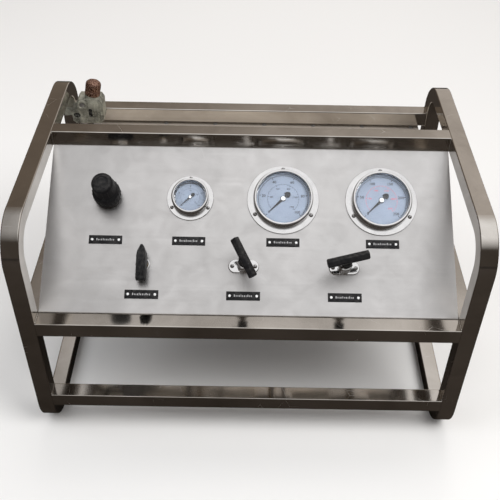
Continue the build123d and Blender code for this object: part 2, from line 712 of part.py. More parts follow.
# ================================================================ needle valves
needle_bodies = []
valve_plates = []
gland_nuts = []
valve_screws = []
for name, x, angle in needle_valves:
    valve = station(x, LOWER_ROW)
    with BuildPart() as body:
        with BuildSketch(valve.offset(-PANEL_T)):
            RectangleRounded(VALVE_BLOCK, VALVE_BLOCK, 2)
        extrude(amount=-VALVE_BLOCK_H)
        with BuildSketch(valve.offset(-PANEL_T)):
            Circle(VALVE_NECK_R)
        extrude(amount=PANEL_T + VALVE_PLATE_T + 8)
        with BuildSketch(valve.offset(VALVE_PLATE_T + 8)):
            Circle(VALVE_STEM_R + RUN)
        extrude(amount=-(VALVE_PLATE_T + 8 - VALVE_PORT_H - 4), mode=Mode.SUBTRACT)
        with BuildSketch(valve.offset(VALVE_PORT_H)):
            Circle(ORIFICE_R)
        extrude(amount=6, mode=Mode.SUBTRACT)
        with BuildSketch(Plane(origin=on_panel(x, LOWER_ROW, VALVE_PORT_H),
                               x_dir=PANEL.y_dir, z_dir=PANEL.x_dir)):
            Circle(PORT_R)
        extrude(amount=VALVE_BLOCK / 2, both=True, mode=Mode.SUBTRACT)
    needle_bodies.append(body.part)
    with BuildPart() as plate:
        with BuildSketch(valve):
            SlotOverall(VALVE_PLATE_L, VALVE_PLATE_W)
            Circle(VALVE_NECK_R + GAP, mode=Mode.SUBTRACT)
            with GridLocations(VALVE_SCREWS, 0, 2, 1):
                Circle(PANEL_SCREW_R + GAP, mode=Mode.SUBTRACT)
        extrude(amount=VALVE_PLATE_T)
    valve_plates.append(plate.part)
    with BuildPart() as gland:
        with BuildSketch(valve.offset(VALVE_PLATE_T)):
            RegularPolygon(GLAND_AF / 2, 6, major_radius=False)
            Circle(VALVE_NECK_R + GAP, mode=Mode.SUBTRACT)
        extrude(amount=8)
        with BuildSketch(valve.offset(VALVE_PLATE_T + 8)):
            RegularPolygon(GLAND_AF / 2, 6, major_radius=False)
            Circle(VALVE_STEM_R + GAP, mode=Mode.SUBTRACT)
        extrude(amount=GLAND_TOP - VALVE_PLATE_T - 8)
        chamfer(gland.faces().sort_by(Axis(PANEL.origin, PANEL.z_dir))[-1].outer_wire().edges(), 1.2)
    gland_nuts.append(gland.part)
    with BuildPart() as stem:
        with BuildSketch(side_view(valve)):
            with BuildLine():
                Polyline(
                    (0, VALVE_PORT_H + 4.5),
                    (2, VALVE_PORT_H + 4.5),
                    (VALVE_STEM_R, VALVE_PORT_H + 12),
                    (VALVE_STEM_R, BAR_H - 2),
                    (0, BAR_H - 2),
                    close=True,
                )
            make_face()
        revolve(axis=centre_line(valve))
    keep(stem, f"{name}_stem")
    bar_plane = Plane(origin=valve.origin, x_dir=PANEL.x_dir, z_dir=PANEL.z_dir).rotated((0, 0, angle))
    bar_section = Plane(origin=on_panel(x, LOWER_ROW, BAR_H),
                        x_dir=bar_plane.y_dir, z_dir=bar_plane.x_dir)
    with BuildPart() as handle:
        with BuildSketch(bar_section):
            RegularPolygon(BAR_AF / 2, 6, major_radius=False)
        extrude(amount=BAR_L / 2, both=True)
        ends = handle.faces().sort_by(Axis(bar_section.origin, bar_section.z_dir))
        chamfer(ends[0].edges() + ends[-1].edges(), 1.2)
        with BuildSketch(valve.offset(GLAND_TOP + 8)):
            Circle(VALVE_STEM_R + 5)
        extrude(amount=BAR_H - GLAND_TOP - 8)
        with BuildSketch(valve.offset(GLAND_TOP + 8)):
            Circle(VALVE_STEM_R)
        extrude(amount=BAR_H - 2 - GLAND_TOP - 8, mode=Mode.SUBTRACT)
    keep(handle, f"{name}_handle")
    with BuildPart() as screws:
        with BuildSketch(valve.offset(VALVE_PLATE_T)):
            with GridLocations(VALVE_SCREWS, 0, 2, 1):
                Circle(PANEL_SCREW_R + SCREW_HEAD)
        extrude(amount=SCREW_HEAD_H)
        with BuildSketch(valve.offset(VALVE_PLATE_T)):
            with GridLocations(VALVE_SCREWS, 0, 2, 1):
                Circle(PANEL_SCREW_R)
        extrude(amount=-SCREW_L)
        with BuildSketch(valve.offset(VALVE_PLATE_T + SCREW_HEAD_H - SLOT_DEPTH)):
            with GridLocations(VALVE_SCREWS, 0, 2, 1):
                Rectangle(2 * (PANEL_SCREW_R + SCREW_HEAD), SLOT_W)
        extrude(amount=2, mode=Mode.SUBTRACT)
    valve_screws.append(screws.part)
gather("needle_valve_bodies", needle_bodies)
gather("valve_plates", valve_plates)
gather("valve_gland_nuts", gland_nuts)
gather("valve_plate_screws", valve_screws)

# ================================================================ tank
tank_mid = ((TANK_LEFT + TANK_RIGHT) / 2, (TANK_FRONT + TANK_REAR) / 2)
tank_size = (TANK_RIGHT - TANK_LEFT, TANK_REAR - TANK_FRONT)
with BuildPart() as tank_shell:
    with BuildSketch(Plane.XY.offset(TANK_BOTTOM)):
        with Locations(tank_mid):
            Rectangle(*tank_size)
    extrude(amount=TANK_TOP - TANK_BOTTOM)
    offset(amount=-TANK_WALL, openings=tank_shell.faces().sort_by(Axis.Z)[-1])
keep(tank_shell, "tank_shell")

# the lid runs on to the left as a shelf over the pump
shelf_left = -INNER_X + SHELF_GAP
lid_right = TANK_RIGHT + LID_OVERHANG
with BuildPart() as tank_lid:
    with BuildSketch(Plane.XY.offset(TANK_TOP)):
        with Locations(((shelf_left + lid_right) / 2, tank_mid[1])):
            Rectangle(lid_right - shelf_left, tank_size[1] + 2 * LID_OVERHANG)
        with Locations((NECK_X, NECK_Y)):
            Circle(FILLER_R - 3, mode=Mode.SUBTRACT)
        for line in (SUPPLY_LINE, EXHAUST_LINE):
            with Locations((MANIFOLD_X + line, MANIFOLD_MID_Y)):
                Circle(AIR_TUBE_R + SHELF_GAP, mode=Mode.SUBTRACT)
    extrude(amount=TANK_WALL)
    with BuildSketch(Plane.XY.offset(LID_TOP)):
        with Locations((NECK_X, NECK_Y)):
            Circle(FILLER_R)
            Circle(FILLER_R - 3, mode=Mode.SUBTRACT)
    extrude(amount=FILLER_H)
keep(tank_lid, "tank_lid")

with BuildPart() as filler_cap:
    with BuildSketch(Plane.XY.offset(LID_TOP + 3)):
        with Locations((NECK_X, NECK_Y)):
            Circle(FILLER_R + CAP_WALL)
            Circle(FILLER_R + GAP, mode=Mode.SUBTRACT)
    extrude(amount=FILLER_H - 3)
    with BuildSketch(Plane.XY.offset(LID_TOP + FILLER_H)):
        with Locations((NECK_X, NECK_Y)):
            Circle(FILLER_R + CAP_WALL)
    extrude(amount=5)
    with BuildSketch(Plane.XY.offset(LID_TOP + 3)):
        with Locations((NECK_X, NECK_Y)):
            with PolarLocations(FILLER_R + CAP_WALL + 0.5, 18):
                Circle(1.6)
    extrude(amount=FILLER_H - 2, mode=Mode.SUBTRACT)
keep(filler_cap, "filler_cap")

SUPPORT_L = BASE_REAR - TANK_FRONT - 4
with BuildPart() as tank_supports:
    with BuildSketch(Plane.XZ.offset(-(TANK_FRONT + 2))):
        with Locations((tank_mid[0] - SUPPORT_SPACING / 2, (BASE_TOP + TANK_BOTTOM) / 2),
                       (tank_mid[0] + SUPPORT_SPACING / 2, (BASE_TOP + TANK_BOTTOM) / 2)):
            Rectangle(SUPPORT_W, TANK_BOTTOM - BASE_TOP)
            Rectangle(SUPPORT_W - 4, TANK_BOTTOM - BASE_TOP - 4, mode=Mode.SUBTRACT)
    extrude(amount=-SUPPORT_L)
keep(tank_supports, "tank_supports")

# ================================================================ pump
pump = Plane(origin=(PUMP_X, PUMP_Y, 0))
half_block = HYDRAULIC_BLOCK / 2
with BuildPart() as hydraulic_body:
    with BuildSketch(pump.offset(BASE_TOP)):
        RectangleRounded(HYDRAULIC_BLOCK, HYDRAULIC_BLOCK, 4)
    extrude(amount=HYDRAULIC_H)
    with BuildSketch(pump.offset(FLANGE_Z)):
        Circle(PLUNGER_R + RUN)
    extrude(amount=-(FLANGE_Z - SUCTION_CHECK_Z + 6), mode=Mode.SUBTRACT)
    with BuildSketch(Plane.XZ.offset(-PUMP_Y)):
        with Locations((PUMP_X, SUCTION_CHECK_Z)):
            Circle(PORT_R)
    extrude(amount=half_block, mode=Mode.SUBTRACT)
    with BuildSketch(Plane.YZ.offset(PUMP_X)):
        with Locations((PUMP_Y, OUTLET_CHECK_Z)):
            Circle(PORT_R)
    extrude(amount=half_block, mode=Mode.SUBTRACT)
keep(hydraulic_body, "hydraulic_body")

with BuildPart() as lower_flange:
    with BuildSketch(pump.offset(FLANGE_Z)):
        RectangleRounded(PUMP_PLATE, PUMP_PLATE, 12)
        Circle(PLUNGER_R + RUN, mode=Mode.SUBTRACT)
        with GridLocations(PUMP_PLATE - 2 * TIE_ROD_INSET, PUMP_PLATE - 2 * TIE_ROD_INSET, 2, 2):
            Circle(TIE_ROD_R + GAP, mode=Mode.SUBTRACT)
    extrude(amount=LOWER_FLANGE_T)
keep(lower_flange, "pump_lower_flange")

with BuildPart() as air_cylinder:
    with BuildSketch(pump.offset(CYLINDER_Z)):
        Circle(CYLINDER_R)
        Circle(CYLINDER_R - CYLINDER_WALL, mode=Mode.SUBTRACT)
    extrude(amount=CYLINDER_H)
keep(air_cylinder, "air_cylinder")

with BuildPart() as air_head:
    with BuildSketch(pump.offset(HEAD_Z)):
        RectangleRounded(PUMP_PLATE, PUMP_PLATE, 12)
        with GridLocations(PUMP_PLATE - 2 * TIE_ROD_INSET, PUMP_PLATE - 2 * TIE_ROD_INSET, 2, 2):
            Circle(TIE_ROD_R + GAP, mode=Mode.SUBTRACT)
    extrude(amount=HEAD_PLATE_T)
    with BuildSketch(pump.offset(SPOOL_BLOCK_Z)):
        RectangleRounded(SPOOL_BLOCK_X, SPOOL_BLOCK_Y, 5)
    extrude(amount=SPOOL_BLOCK_H)
    with BuildSketch(Plane.YZ.offset(PUMP_X)):
        with Locations((PUMP_Y, SPOOL_Z)):
            Circle(SPOOL_R + RUN)
    extrude(amount=SPOOL_BLOCK_X / 2, both=True, mode=Mode.SUBTRACT)
keep(air_head, "pump_air_head")

with BuildPart() as spool_plugs:
    for end in (-1, 1):
        with BuildSketch(Plane.YZ.offset(PUMP_X + end * SPOOL_BLOCK_X / 2)):
            with Locations((PUMP_Y, SPOOL_Z)):
                RegularPolygon(SPOOL_R + 5, 6)
        extrude(amount=end * 6)
keep(spool_plugs, "spool_plugs")

with BuildPart() as spool:
    with BuildSketch(Plane.YZ.offset(PUMP_X)):
        with Locations((PUMP_Y, SPOOL_Z)):
            Circle(SPOOL_R - 3)
    extrude(amount=SPOOL_L / 2, both=True)
    for shift in (-0.5, 0.0, 0.5):
        centre = PUMP_X + shift * (SPOOL_L - 10)
        with BuildSketch(Plane.YZ.offset(centre)):
            with Locations((PUMP_Y, SPOOL_Z)):
                Circle(SPOOL_R)
        extrude(amount=5, both=True)
keep(spool, "pump_spool")

with BuildPart() as tie_rods:
    with BuildSketch(pump.offset(FLANGE_Z - 8)):
        with GridLocations(PUMP_PLATE - 2 * TIE_ROD_INSET, PUMP_PLATE - 2 * TIE_ROD_INSET, 2, 2):
            Circle(TIE_ROD_R)
    extrude(amount=SPOOL_BLOCK_Z + 10 - FLANGE_Z + 8)
    for level in (FLANGE_Z - 7, SPOOL_BLOCK_Z):
        with BuildSketch(pump.offset(level)):
            with GridLocations(PUMP_PLATE - 2 * TIE_ROD_INSET,
                               PUMP_PLATE - 2 * TIE_ROD_INSET, 2, 2):
                RegularPolygon(TIE_NUT_AF / 2, 6, major_radius=False)
        extrude(amount=7)
keep(tie_rods, "tie_rods")

with BuildPart() as air_piston:
    with BuildSketch(pump.offset(CYLINDER_Z + PISTON_FLOOR)):
        Circle(CYLINDER_R - CYLINDER_WALL - RUN)
    extrude(amount=PISTON_T)
    with BuildSketch(pump.offset(CYLINDER_Z + PISTON_FLOOR)):
        Circle(PLUNGER_R)
    extrude(amount=-(CYLINDER_Z + PISTON_FLOOR - SUCTION_CHECK_Z - PLUNGER_CLEAR))
keep(air_piston, "air_piston")

CHECK_END_Y = PUMP_Y - half_block - CHECK_L
CHECK_END_X = PUMP_X + half_block + CHECK_L
with BuildPart() as check_valves:
    with BuildSketch(Plane.XZ.offset(-(PUMP_Y - half_block))):
        with Locations((PUMP_X, SUCTION_CHECK_Z)):
            RegularPolygon(CHECK_AF / 2, 6, major_radius=False)
            Circle(PORT_R, mode=Mode.SUBTRACT)
    extrude(amount=CHECK_L)
    with BuildSketch(Plane.YZ.offset(PUMP_X + half_block)):
        with Locations((PUMP_Y, OUTLET_CHECK_Z)):
            RegularPolygon(CHECK_AF / 2, 6, major_radius=False)
            Circle(PORT_R, mode=Mode.SUBTRACT)
    extrude(amount=CHECK_L)
keep(check_valves, "check_valves")

# ================================================================ air inlet casting
manifold_mid_x = MANIFOLD_X + MANIFOLD_W / 2
manifold_top = MANIFOLD_Z + MANIFOLD_H
HUB = (MANIFOLD_X + 25, MANIFOLD_Z + 45)
ARM_TOP = FRAME_HEIGHT - BEND_RADIUS      # where the post starts to bend
SILENCER_X = MANIFOLD_X + 43
INLET_Z = manifold_top - INLET_R - 6
INLET_X = MANIFOLD_X + MANIFOLD_W - 17
SEAT_L = 16.0
lean = radians(SILENCER_TILT)
silencer_seat = Plane(
    origin=(SILENCER_X + SEAT_RISE * sin(lean), MANIFOLD_MID_Y,
            manifold_top - 4 + SEAT_RISE * cos(lean)),
    x_dir=(cos(lean), 0, -sin(lean)),
    z_dir=(sin(lean), 0, cos(lean)),
)
with BuildPart() as manifold:
    with BuildSketch(Plane.XZ.offset(-MANIFOLD_FRONT)):
        with BuildLine():
            Polyline(
                (MANIFOLD_X + 2, MANIFOLD_Z + 4),
                (MANIFOLD_X + 8, MANIFOLD_Z),
                (MANIFOLD_X + MANIFOLD_W - 6, MANIFOLD_Z),
                (MANIFOLD_X + MANIFOLD_W, MANIFOLD_Z + 8),
                (MANIFOLD_X + MANIFOLD_W, manifold_top - 8),
                (MANIFOLD_X + MANIFOLD_W - 5, manifold_top),
                (MANIFOLD_X + 19, manifold_top),
                (MANIFOLD_X + 14, manifold_top - 6),
                (MANIFOLD_X + 14, manifold_top - 20),
                (MANIFOLD_X, manifold_top - 27),
                close=True,
            )
        make_face()
    extrude(amount=-MANIFOLD_D)
    # two cored pockets in the front face
    with BuildSketch(Plane.XZ.offset(-MANIFOLD_FRONT)):
        with Locations((MANIFOLD_X + 11, MANIFOLD_Z + 18)):
            Ellipse(7.5, 6)
        with Locations((MANIFOLD_X + 39.5, MANIFOLD_Z + 23.5)):
            RectangleRounded(8, 20, 3)
    extrude(amount=-10, mode=Mode.SUBTRACT)
    # round cover boss
    with BuildSketch(Plane.XZ.offset(-MANIFOLD_FRONT)):
        with Locations(HUB):
            Circle(10)
    extrude(amount=5)
    with BuildSketch(Plane.XZ.offset(-(MANIFOLD_FRONT - 5))):
        with Locations(HUB):
            Circle(5)
    extrude(amount=-2.5, mode=Mode.SUBTRACT)
    # arm to the rear post
    with BuildSketch(Plane.XZ.offset(-(REAR_Y - TUBE))):
        with BuildLine():
            Polyline(
                (-HALF_W + 6, ARM_TOP - 14),
                (MANIFOLD_X + 12, ARM_TOP - 10),
                (MANIFOLD_X + 12, ARM_TOP + 4),
                (MANIFOLD_X + 4, ARM_TOP),
                (-HALF_W + 6, ARM_TOP),
                close=True,
            )
        make_face()
    extrude(amount=12)
    # leaning seat for the silencer
    with BuildSketch(silencer_seat.offset(-SEAT_L)):
        Circle(SILENCER_R - 1)
    extrude(amount=SEAT_L)
    # air hose port, above the rear rail
    with BuildSketch(Plane.XZ.offset(-MANIFOLD_REAR)):
        with Locations((INLET_X, INLET_Z)):
            Circle(INLET_R)
    extrude(amount=INLET_DEPTH, mode=Mode.SUBTRACT)
keep(manifold, "inlet_manifold")

DOME_H = 8.0
DOME_R = (SILENCER_R**2 + DOME_H**2) / (2 * DOME_H)
with BuildPart() as silencer:
    with BuildSketch(side_view(silencer_seat)):
        with BuildLine():
            Polyline(
                (0, SILENCER_L),
                (0, 0),
                (SILENCER_R, 0),
                (SILENCER_R, 9),
                (SILENCER_R - 1.5, 10),
                (SILENCER_R - 1.5, 12),
                (SILENCER_R, 13),
                (SILENCER_R, SILENCER_L - DOME_H),
            )
            RadiusArc((SILENCER_R, SILENCER_L - DOME_H), (0, SILENCER_L), -DOME_R)
        make_face()
    revolve(axis=centre_line(silencer_seat))
keep(silencer, "exhaust_silencer")

# ================================================================ outlet
with BuildPart() as port_plate:
    with BuildSketch(Plane.XZ.offset(-PORT_PLATE_Y)):
        with Locations((OUTLET_X, (BASE_TOP + TANK_BOTTOM - 4) / 2)):
            Rectangle(PORT_PLATE_W, TANK_BOTTOM - 4 - BASE_TOP)
        with Locations((OUTLET_X, OUTLET_Z)):
            Circle(OUTLET_R + 3.5 + GAP, mode=Mode.SUBTRACT)
    extrude(amount=-PORT_PLATE_T)
keep(port_plate, "port_plate")

PLATE_REAR = PORT_PLATE_Y + PORT_PLATE_T
with BuildPart() as bulkhead:
    with BuildSketch(Plane.XZ.offset(-(PORT_PLATE_Y - 14))):
        with Locations((OUTLET_X, OUTLET_Z)):
            Circle(OUTLET_R + 3.5)
    extrude(amount=-(14 + PORT_PLATE_T + OUTLET_L))
    with BuildSketch(Plane.XZ.offset(-PLATE_REAR)):
        with Locations((OUTLET_X, OUTLET_Z)):
            RegularPolygon(OUTLET_AF / 2, 6, major_radius=False)
    extrude(amount=-12)
    with BuildSketch(Plane.XZ.offset(-PORT_PLATE_Y)):
        with Locations((OUTLET_X, OUTLET_Z)):
            RegularPolygon(OUTLET_AF / 2, 6, major_radius=False)
    extrude(amount=8)
    with BuildSketch(Plane.XZ.offset(-(PLATE_REAR + OUTLET_L))):
        with Locations((OUTLET_X, OUTLET_Z)):
            Circle(OUTLET_R)
    extrude(amount=OUTLET_L - 6, mode=Mode.SUBTRACT)
    with BuildSketch(Plane.XZ.offset(-(PORT_PLATE_Y - 14))):
        with Locations((OUTLET_X, OUTLET_Z)):
            Circle(PORT_R)
    extrude(amount=-(14 + PORT_PLATE_T + 8), mode=Mode.SUBTRACT)
keep(bulkhead, "outlet_bulkhead")

# ================================================================ tubing
BLOCK_SPOTS = ((UNLOADING_X + PRESSURE_X) / 2, HIGH_GAUGE_X + 4.0)
with BuildPart() as blocks:
    for x in BLOCK_SPOTS:
        core = Plane(origin=on_panel(x, LOWER_ROW, VALVE_PORT_H),
                     x_dir=PANEL.y_dir, z_dir=PANEL.x_dir)
        with BuildSketch(core):
            RectangleRounded(BLOCK_SECTION, BLOCK_SECTION, 2)
        extrude(amount=BLOCK_L / 2, both=True)
        with BuildSketch(core):
            Circle(PORT_R)
        extrude(amount=BLOCK_L / 2, both=True, mode=Mode.SUBTRACT)
keep(blocks, "distribution_blocks")

tube_ends = []


def pipe(points, radius, bend):
    """Solid round tube run through points, with a tangent arc at each corner."""
    with BuildPart() as run:
        with BuildLine() as path:
            if len(points) > 2:
                FilletPolyline(*points, radius=bend)
            else:
                Line(*points)
        start = path.line @ 0
        with BuildSketch(Plane(origin=start, z_dir=path.line % 0)):
            Circle(radius)
            Circle(radius - 1.5, mode=Mode.SUBTRACT)
        sweep(path=path.line)
    tube_ends.append((Vector(*points[0]), Vector(*points[1]), radius))
    tube_ends.append((Vector(*points[-1]), Vector(*points[-2]), radius))
    return run.part


def out(point, *steps):
    """Point moved by each (direction, distance) in turn."""
    place = Vector(*point)
    for direction, distance in steps:
        place += Vector(*direction).normalized() * distance
    return tuple(place)


RIGHT = (1, 0, 0)
LEFT = (-1, 0, 0)
INWARD = tuple(-PANEL.z_dir)

# air: inlet casting to drive switch
line_x = MANIFOLD_X + SUPPLY_LINE
inlet_port = (line_x, MANIFOLD_MID_Y, MANIFOLD_Z)
switch_in = tuple(on_panel(SWITCH_X + SWITCH_BODY_L / 2, LOWER_ROW, SWITCH_AXIS_H))
switch_out = tuple(on_panel(SWITCH_X - SWITCH_BODY_L / 2, LOWER_ROW, SWITCH_AXIS_H))
LANE_X = (PUMP_X + PUMP_PLATE / 2 + TANK_LEFT) / 2
LANE_Z = CYLINDER_Z + CYLINDER_H / 2
TANK_LANE_Y = TANK_FRONT - 37
switch_run = SWITCH_X + SWITCH_BODY_L / 2 + 30
air_tubes = [
    pipe([
        inlet_port,
        (line_x, inlet_port[1], LANE_Z),
        (LANE_X, inlet_port[1], LANE_Z),
        (LANE_X, TANK_LANE_Y, LANE_Z),
        (switch_run, TOP_RAIL_Y - 42, switch_in[2]),
        (switch_run, switch_in[1], switch_in[2]),
        switch_in,
    ], AIR_TUBE_R, 14),
]
# air: drive switch to regulator
reg_in = tuple(on_panel(REGULATOR_X - REG_BODY / 2, UPPER_ROW, REG_PORT_H))
reg_gauge = tuple(on_panel(REGULATOR_X + REG_BODY / 2, UPPER_ROW, REG_PORT_H))
reg_out = tuple(on_panel(REGULATOR_X, UPPER_ROW, REG_BODY_TOP - REG_BODY_H))
side_x = REGULATOR_X - REG_BODY / 2 - 32
air_tubes.append(pipe([
    switch_out,
    (side_x, switch_out[1], switch_out[2]),
    (side_x, reg_in[1], reg_in[2]),
    reg_in,
], AIR_TUBE_R, 14))
# air: regulator to the pump's head
head_port = (PUMP_X, PUMP_Y - SPOOL_BLOCK_Y / 2, SPOOL_Z)
air_tubes.append(pipe([
    reg_out,
    out(reg_out, (INWARD, 26)),
    out(head_port, ((0, -1, 0), 50)),
    head_port,
], AIR_TUBE_R, 12))
# air: regulator to the air gauge
stem_end = -SMALL_GAUGE["depth"] - STEM_OUT
gauge_port = tuple(on_panel(AIR_GAUGE_X, UPPER_ROW, stem_end))
air_tubes.append(pipe([
    reg_gauge,
    out(reg_gauge, (RIGHT, 27)),
    tuple(on_panel(REGULATOR_X + REG_BODY / 2 + 27, UPPER_ROW, stem_end - 26)),
    tuple(on_panel(AIR_GAUGE_X, UPPER_ROW, stem_end - 26)),
    gauge_port,
], AIR_TUBE_R, 10))
# air: pump exhaust to the casting under the silencer
exhaust_x = MANIFOLD_X + EXHAUST_LINE
exhaust_y = inlet_port[1]
air_tubes.append(pipe([
    (exhaust_x, PUMP_Y + SPOOL_BLOCK_Y / 2, SPOOL_Z),
    (exhaust_x, exhaust_y, SPOOL_Z),
    (exhaust_x, exhaust_y, MANIFOLD_Z),
], AIR_TUBE_R, 14))
gather("air_tubing", air_tubes)

# high pressure: pump to the first block
left_block, right_block = BLOCK_SPOTS
pump_out = (CHECK_END_X, PUMP_Y, OUTLET_CHECK_Z)
block_back = tuple(on_panel(left_block, LOWER_ROW, VALVE_PORT_H - BLOCK_SECTION / 2))
pressure_tubes = [
    pipe([
        pump_out,
        (CHECK_END_X + 16, PUMP_Y, OUTLET_CHECK_Z),
        (CHECK_END_X + 16, TOP_RAIL_Y - 2, OUTLET_CHECK_Z),
        out(block_back, (INWARD, 120)),
        block_back,
    ], HP_TUBE_R, 10),
]
# high pressure: straight links between valves and blocks
for x_from, x_to in (
    (UNLOADING_X + VALVE_BLOCK / 2, left_block - BLOCK_L / 2),
    (left_block + BLOCK_L / 2, PRESSURE_X - VALVE_BLOCK / 2),
    (PRESSURE_X + VALVE_BLOCK / 2, right_block - BLOCK_L / 2),
):
    pressure_tubes.append(pipe([
        tuple(on_panel(x_from, LOWER_ROW, VALVE_PORT_H)),
        tuple(on_panel(x_to, LOWER_ROW, VALVE_PORT_H)),
    ], HP_TUBE_R, 10))
# high pressure: blocks to the two large gauges
block_top = LOWER_ROW + BLOCK_SECTION / 2
large_stem_end = -LARGE_GAUGE["depth"] - STEM_OUT
for x_block, x_gauge in ((left_block - 20, LOW_GAUGE_X), (right_block - 4, HIGH_GAUGE_X)):
    pressure_tubes.append(pipe([
        tuple(on_panel(x_block, block_top, VALVE_PORT_H)),
        tuple(on_panel(x_block, block_top + 28, VALVE_PORT_H)),
        tuple(on_panel(x_gauge, UPPER_ROW - 26, large_stem_end - 28)),
        tuple(on_panel(x_gauge, UPPER_ROW, large_stem_end - 28)),
        tuple(on_panel(x_gauge, UPPER_ROW, large_stem_end)),
    ], HP_TUBE_R, 9))
# unloading valve back to the tank
unload_port = tuple(on_panel(UNLOADING_X - VALVE_BLOCK / 2, LOWER_ROW, VALVE_PORT_H))
RETURN_Z = TANK_TOP - 43
pressure_tubes.append(pipe([
    unload_port,
    out(unload_port, (LEFT, 35)),
    (unload_port[0] - 35, TANK_FRONT - 67, RETURN_Z),
    (unload_port[0] - 35, TANK_FRONT, RETURN_Z),
], HP_TUBE_R, 12))
# outlet, under the tank to the rear bulkhead
block_side = tuple(on_panel(right_block + BLOCK_L / 2, LOWER_ROW, VALVE_PORT_H))
pressure_tubes.append(pipe([
    block_side,
    (OUTLET_X, block_side[1], block_side[2]),
    (OUTLET_X, TANK_FRONT - 37, OUTLET_Z),
    (OUTLET_X, PORT_PLATE_Y - 14, OUTLET_Z),
], HP_TUBE_R, 14))
gather("pressure_tubing", pressure_tubes)

SUCTION_X = TANK_LEFT + 45
SUCTION_Z = TANK_BOTTOM + 20
suction_y = TANK_FRONT - 52
suction = pipe([
    (SUCTION_X, TANK_FRONT, SUCTION_Z),
    (SUCTION_X, suction_y, SUCTION_Z),
    (SUCTION_X - 80, suction_y, SUCTION_CHECK_Z),
    (PUMP_X, suction_y, SUCTION_CHECK_Z),
    (PUMP_X, CHECK_END_Y, SUCTION_CHECK_Z),
], SUCTION_TUBE_R, 14)
gather("suction_tube", [suction])

nuts = []
for end, inner, radius in tube_ends:
    with BuildPart() as nut:
        with BuildSketch(Plane(origin=end, z_dir=inner - end)):
            RegularPolygon(radius + 4, 6, major_radius=False)
            Circle(radius + GAP, mode=Mode.SUBTRACT)
        extrude(amount=TUBE_NUT_L)
    nuts.append(nut.part)
gather("tube_nuts", nuts)

# ================================================================ export
os.makedirs("parts", exist_ok=True)
for label, shape in nodes.items():
    export_step(shape, f"parts/{label}.step")
print(len(nodes), "nodes")
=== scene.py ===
"""Looks of the air-driven hydraulic test unit, built round its CAD frame.

Every class below is one sub-assembly or one finish of the unit. Sizes are in
millimetres until a piece is finished, when its place goes into its mesh.
"""

import logging
from collections.abc import Iterable, Sequence
from dataclasses import dataclass
from enum import Enum
from math import atan2, cos, hypot, pi, radians, sin

import bmesh
import bpy
from mathutils import Matrix, Vector


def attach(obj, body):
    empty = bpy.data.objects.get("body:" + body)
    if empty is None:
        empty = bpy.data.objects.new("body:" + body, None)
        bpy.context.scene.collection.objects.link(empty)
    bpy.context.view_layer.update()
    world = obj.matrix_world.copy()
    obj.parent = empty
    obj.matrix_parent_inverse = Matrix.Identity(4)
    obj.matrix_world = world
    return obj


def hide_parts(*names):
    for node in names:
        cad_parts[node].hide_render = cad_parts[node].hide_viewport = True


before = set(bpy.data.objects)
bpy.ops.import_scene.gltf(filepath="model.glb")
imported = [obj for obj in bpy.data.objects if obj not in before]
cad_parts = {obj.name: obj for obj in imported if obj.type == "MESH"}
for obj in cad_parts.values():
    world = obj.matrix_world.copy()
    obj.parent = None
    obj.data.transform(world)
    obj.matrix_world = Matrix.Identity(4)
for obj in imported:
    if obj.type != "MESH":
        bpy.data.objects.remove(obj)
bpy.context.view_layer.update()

log = logging.getLogger("test_unit")
Colour = tuple[float, float, float]
Point = tuple[float, float]
Spot = tuple[float, float, float]
Tree = bpy.types.NodeTree
Shader = bpy.types.Node
Socket = bpy.types.NodeSocket

MILLIMETRE = 0.001            # metres
MERGE = 1e-4                  # vertices nearer than this are one, in millimetres
ON_AXIS = 1e-6                # a profile that ends nearer than this ends on the axis
QUARTER = pi / 2


# ------------------------------------------------------------------ shader work
def node(tree: Tree, kind: str, feeds: dict | None = None, **settings: object) -> Shader:
    """Add one shader node, set it up and wire what feeds it.

    Args:
        tree: Node tree that takes the node.
        kind: Node type without its ShaderNode prefix.
        feeds: Input name or number to a socket that feeds it, or to a plain value.
        **settings: Properties of the node itself.

    Returns:
        The new node.
    """
    made = tree.nodes.new("ShaderNode" + kind)
    for name, value in settings.items():
        setattr(made, name, value)
    for key, value in (feeds or {}).items():
        if isinstance(value, Socket):
            tree.links.new(value, made.inputs[key])
        elif isinstance(value, tuple) and len(value) == 3 and made.inputs[key].type == "RGBA":
            made.inputs[key].default_value = (*value, 1.0)
        else:
            made.inputs[key].default_value = value
    return made


def mixed(tree: Tree, factor: Socket, dark: Colour | Socket, light: Colour | Socket) -> Socket:
    """Mix two colours by a factor.

    Args:
        tree: Node tree that takes the mix.
        factor: Socket from 0 for dark to 1 for light.
        dark: Colour or socket at 0.
        light: Colour or socket at 1.

    Returns:
        The mixed colour's socket.
    """
    mix = node(tree, "Mix", data_type="RGBA")
    tree.links.new(factor, mix.inputs[0])
    for slot, value in ((6, dark), (7, light)):
        if isinstance(value, Socket):
            tree.links.new(value, mix.inputs[slot])
        else:
            mix.inputs[slot].default_value = (*value, 1.0)
    return mix.outputs[2]


def spread(tree: Tree, value: Socket, low: float, high: float, out_low: float,
           out_high: float) -> Socket:
    """Map a value from one range to another, held inside it.

    Args:
        tree: Node tree that takes the node.
        value: Socket to map.
        low: Value that gives out_low.
        high: Value that gives out_high.
        out_low: Result at low.
        out_high: Result at high.

    Returns:
        The mapped value's socket.
    """
    feeds = {"Value": value, "From Min": low, "From Max": high, "To Min": out_low, "To Max": out_high}
    return node(tree, "MapRange", feeds).outputs["Result"]


class SurfaceEffect(Enum):
    """Effects that several finishes share, each one shader node group."""

    GRAIN = "surface_grain"
    CLOUD = "surface_cloud"
    SCUFFS = "surface_scuffs"
    DUST = "surface_dust"


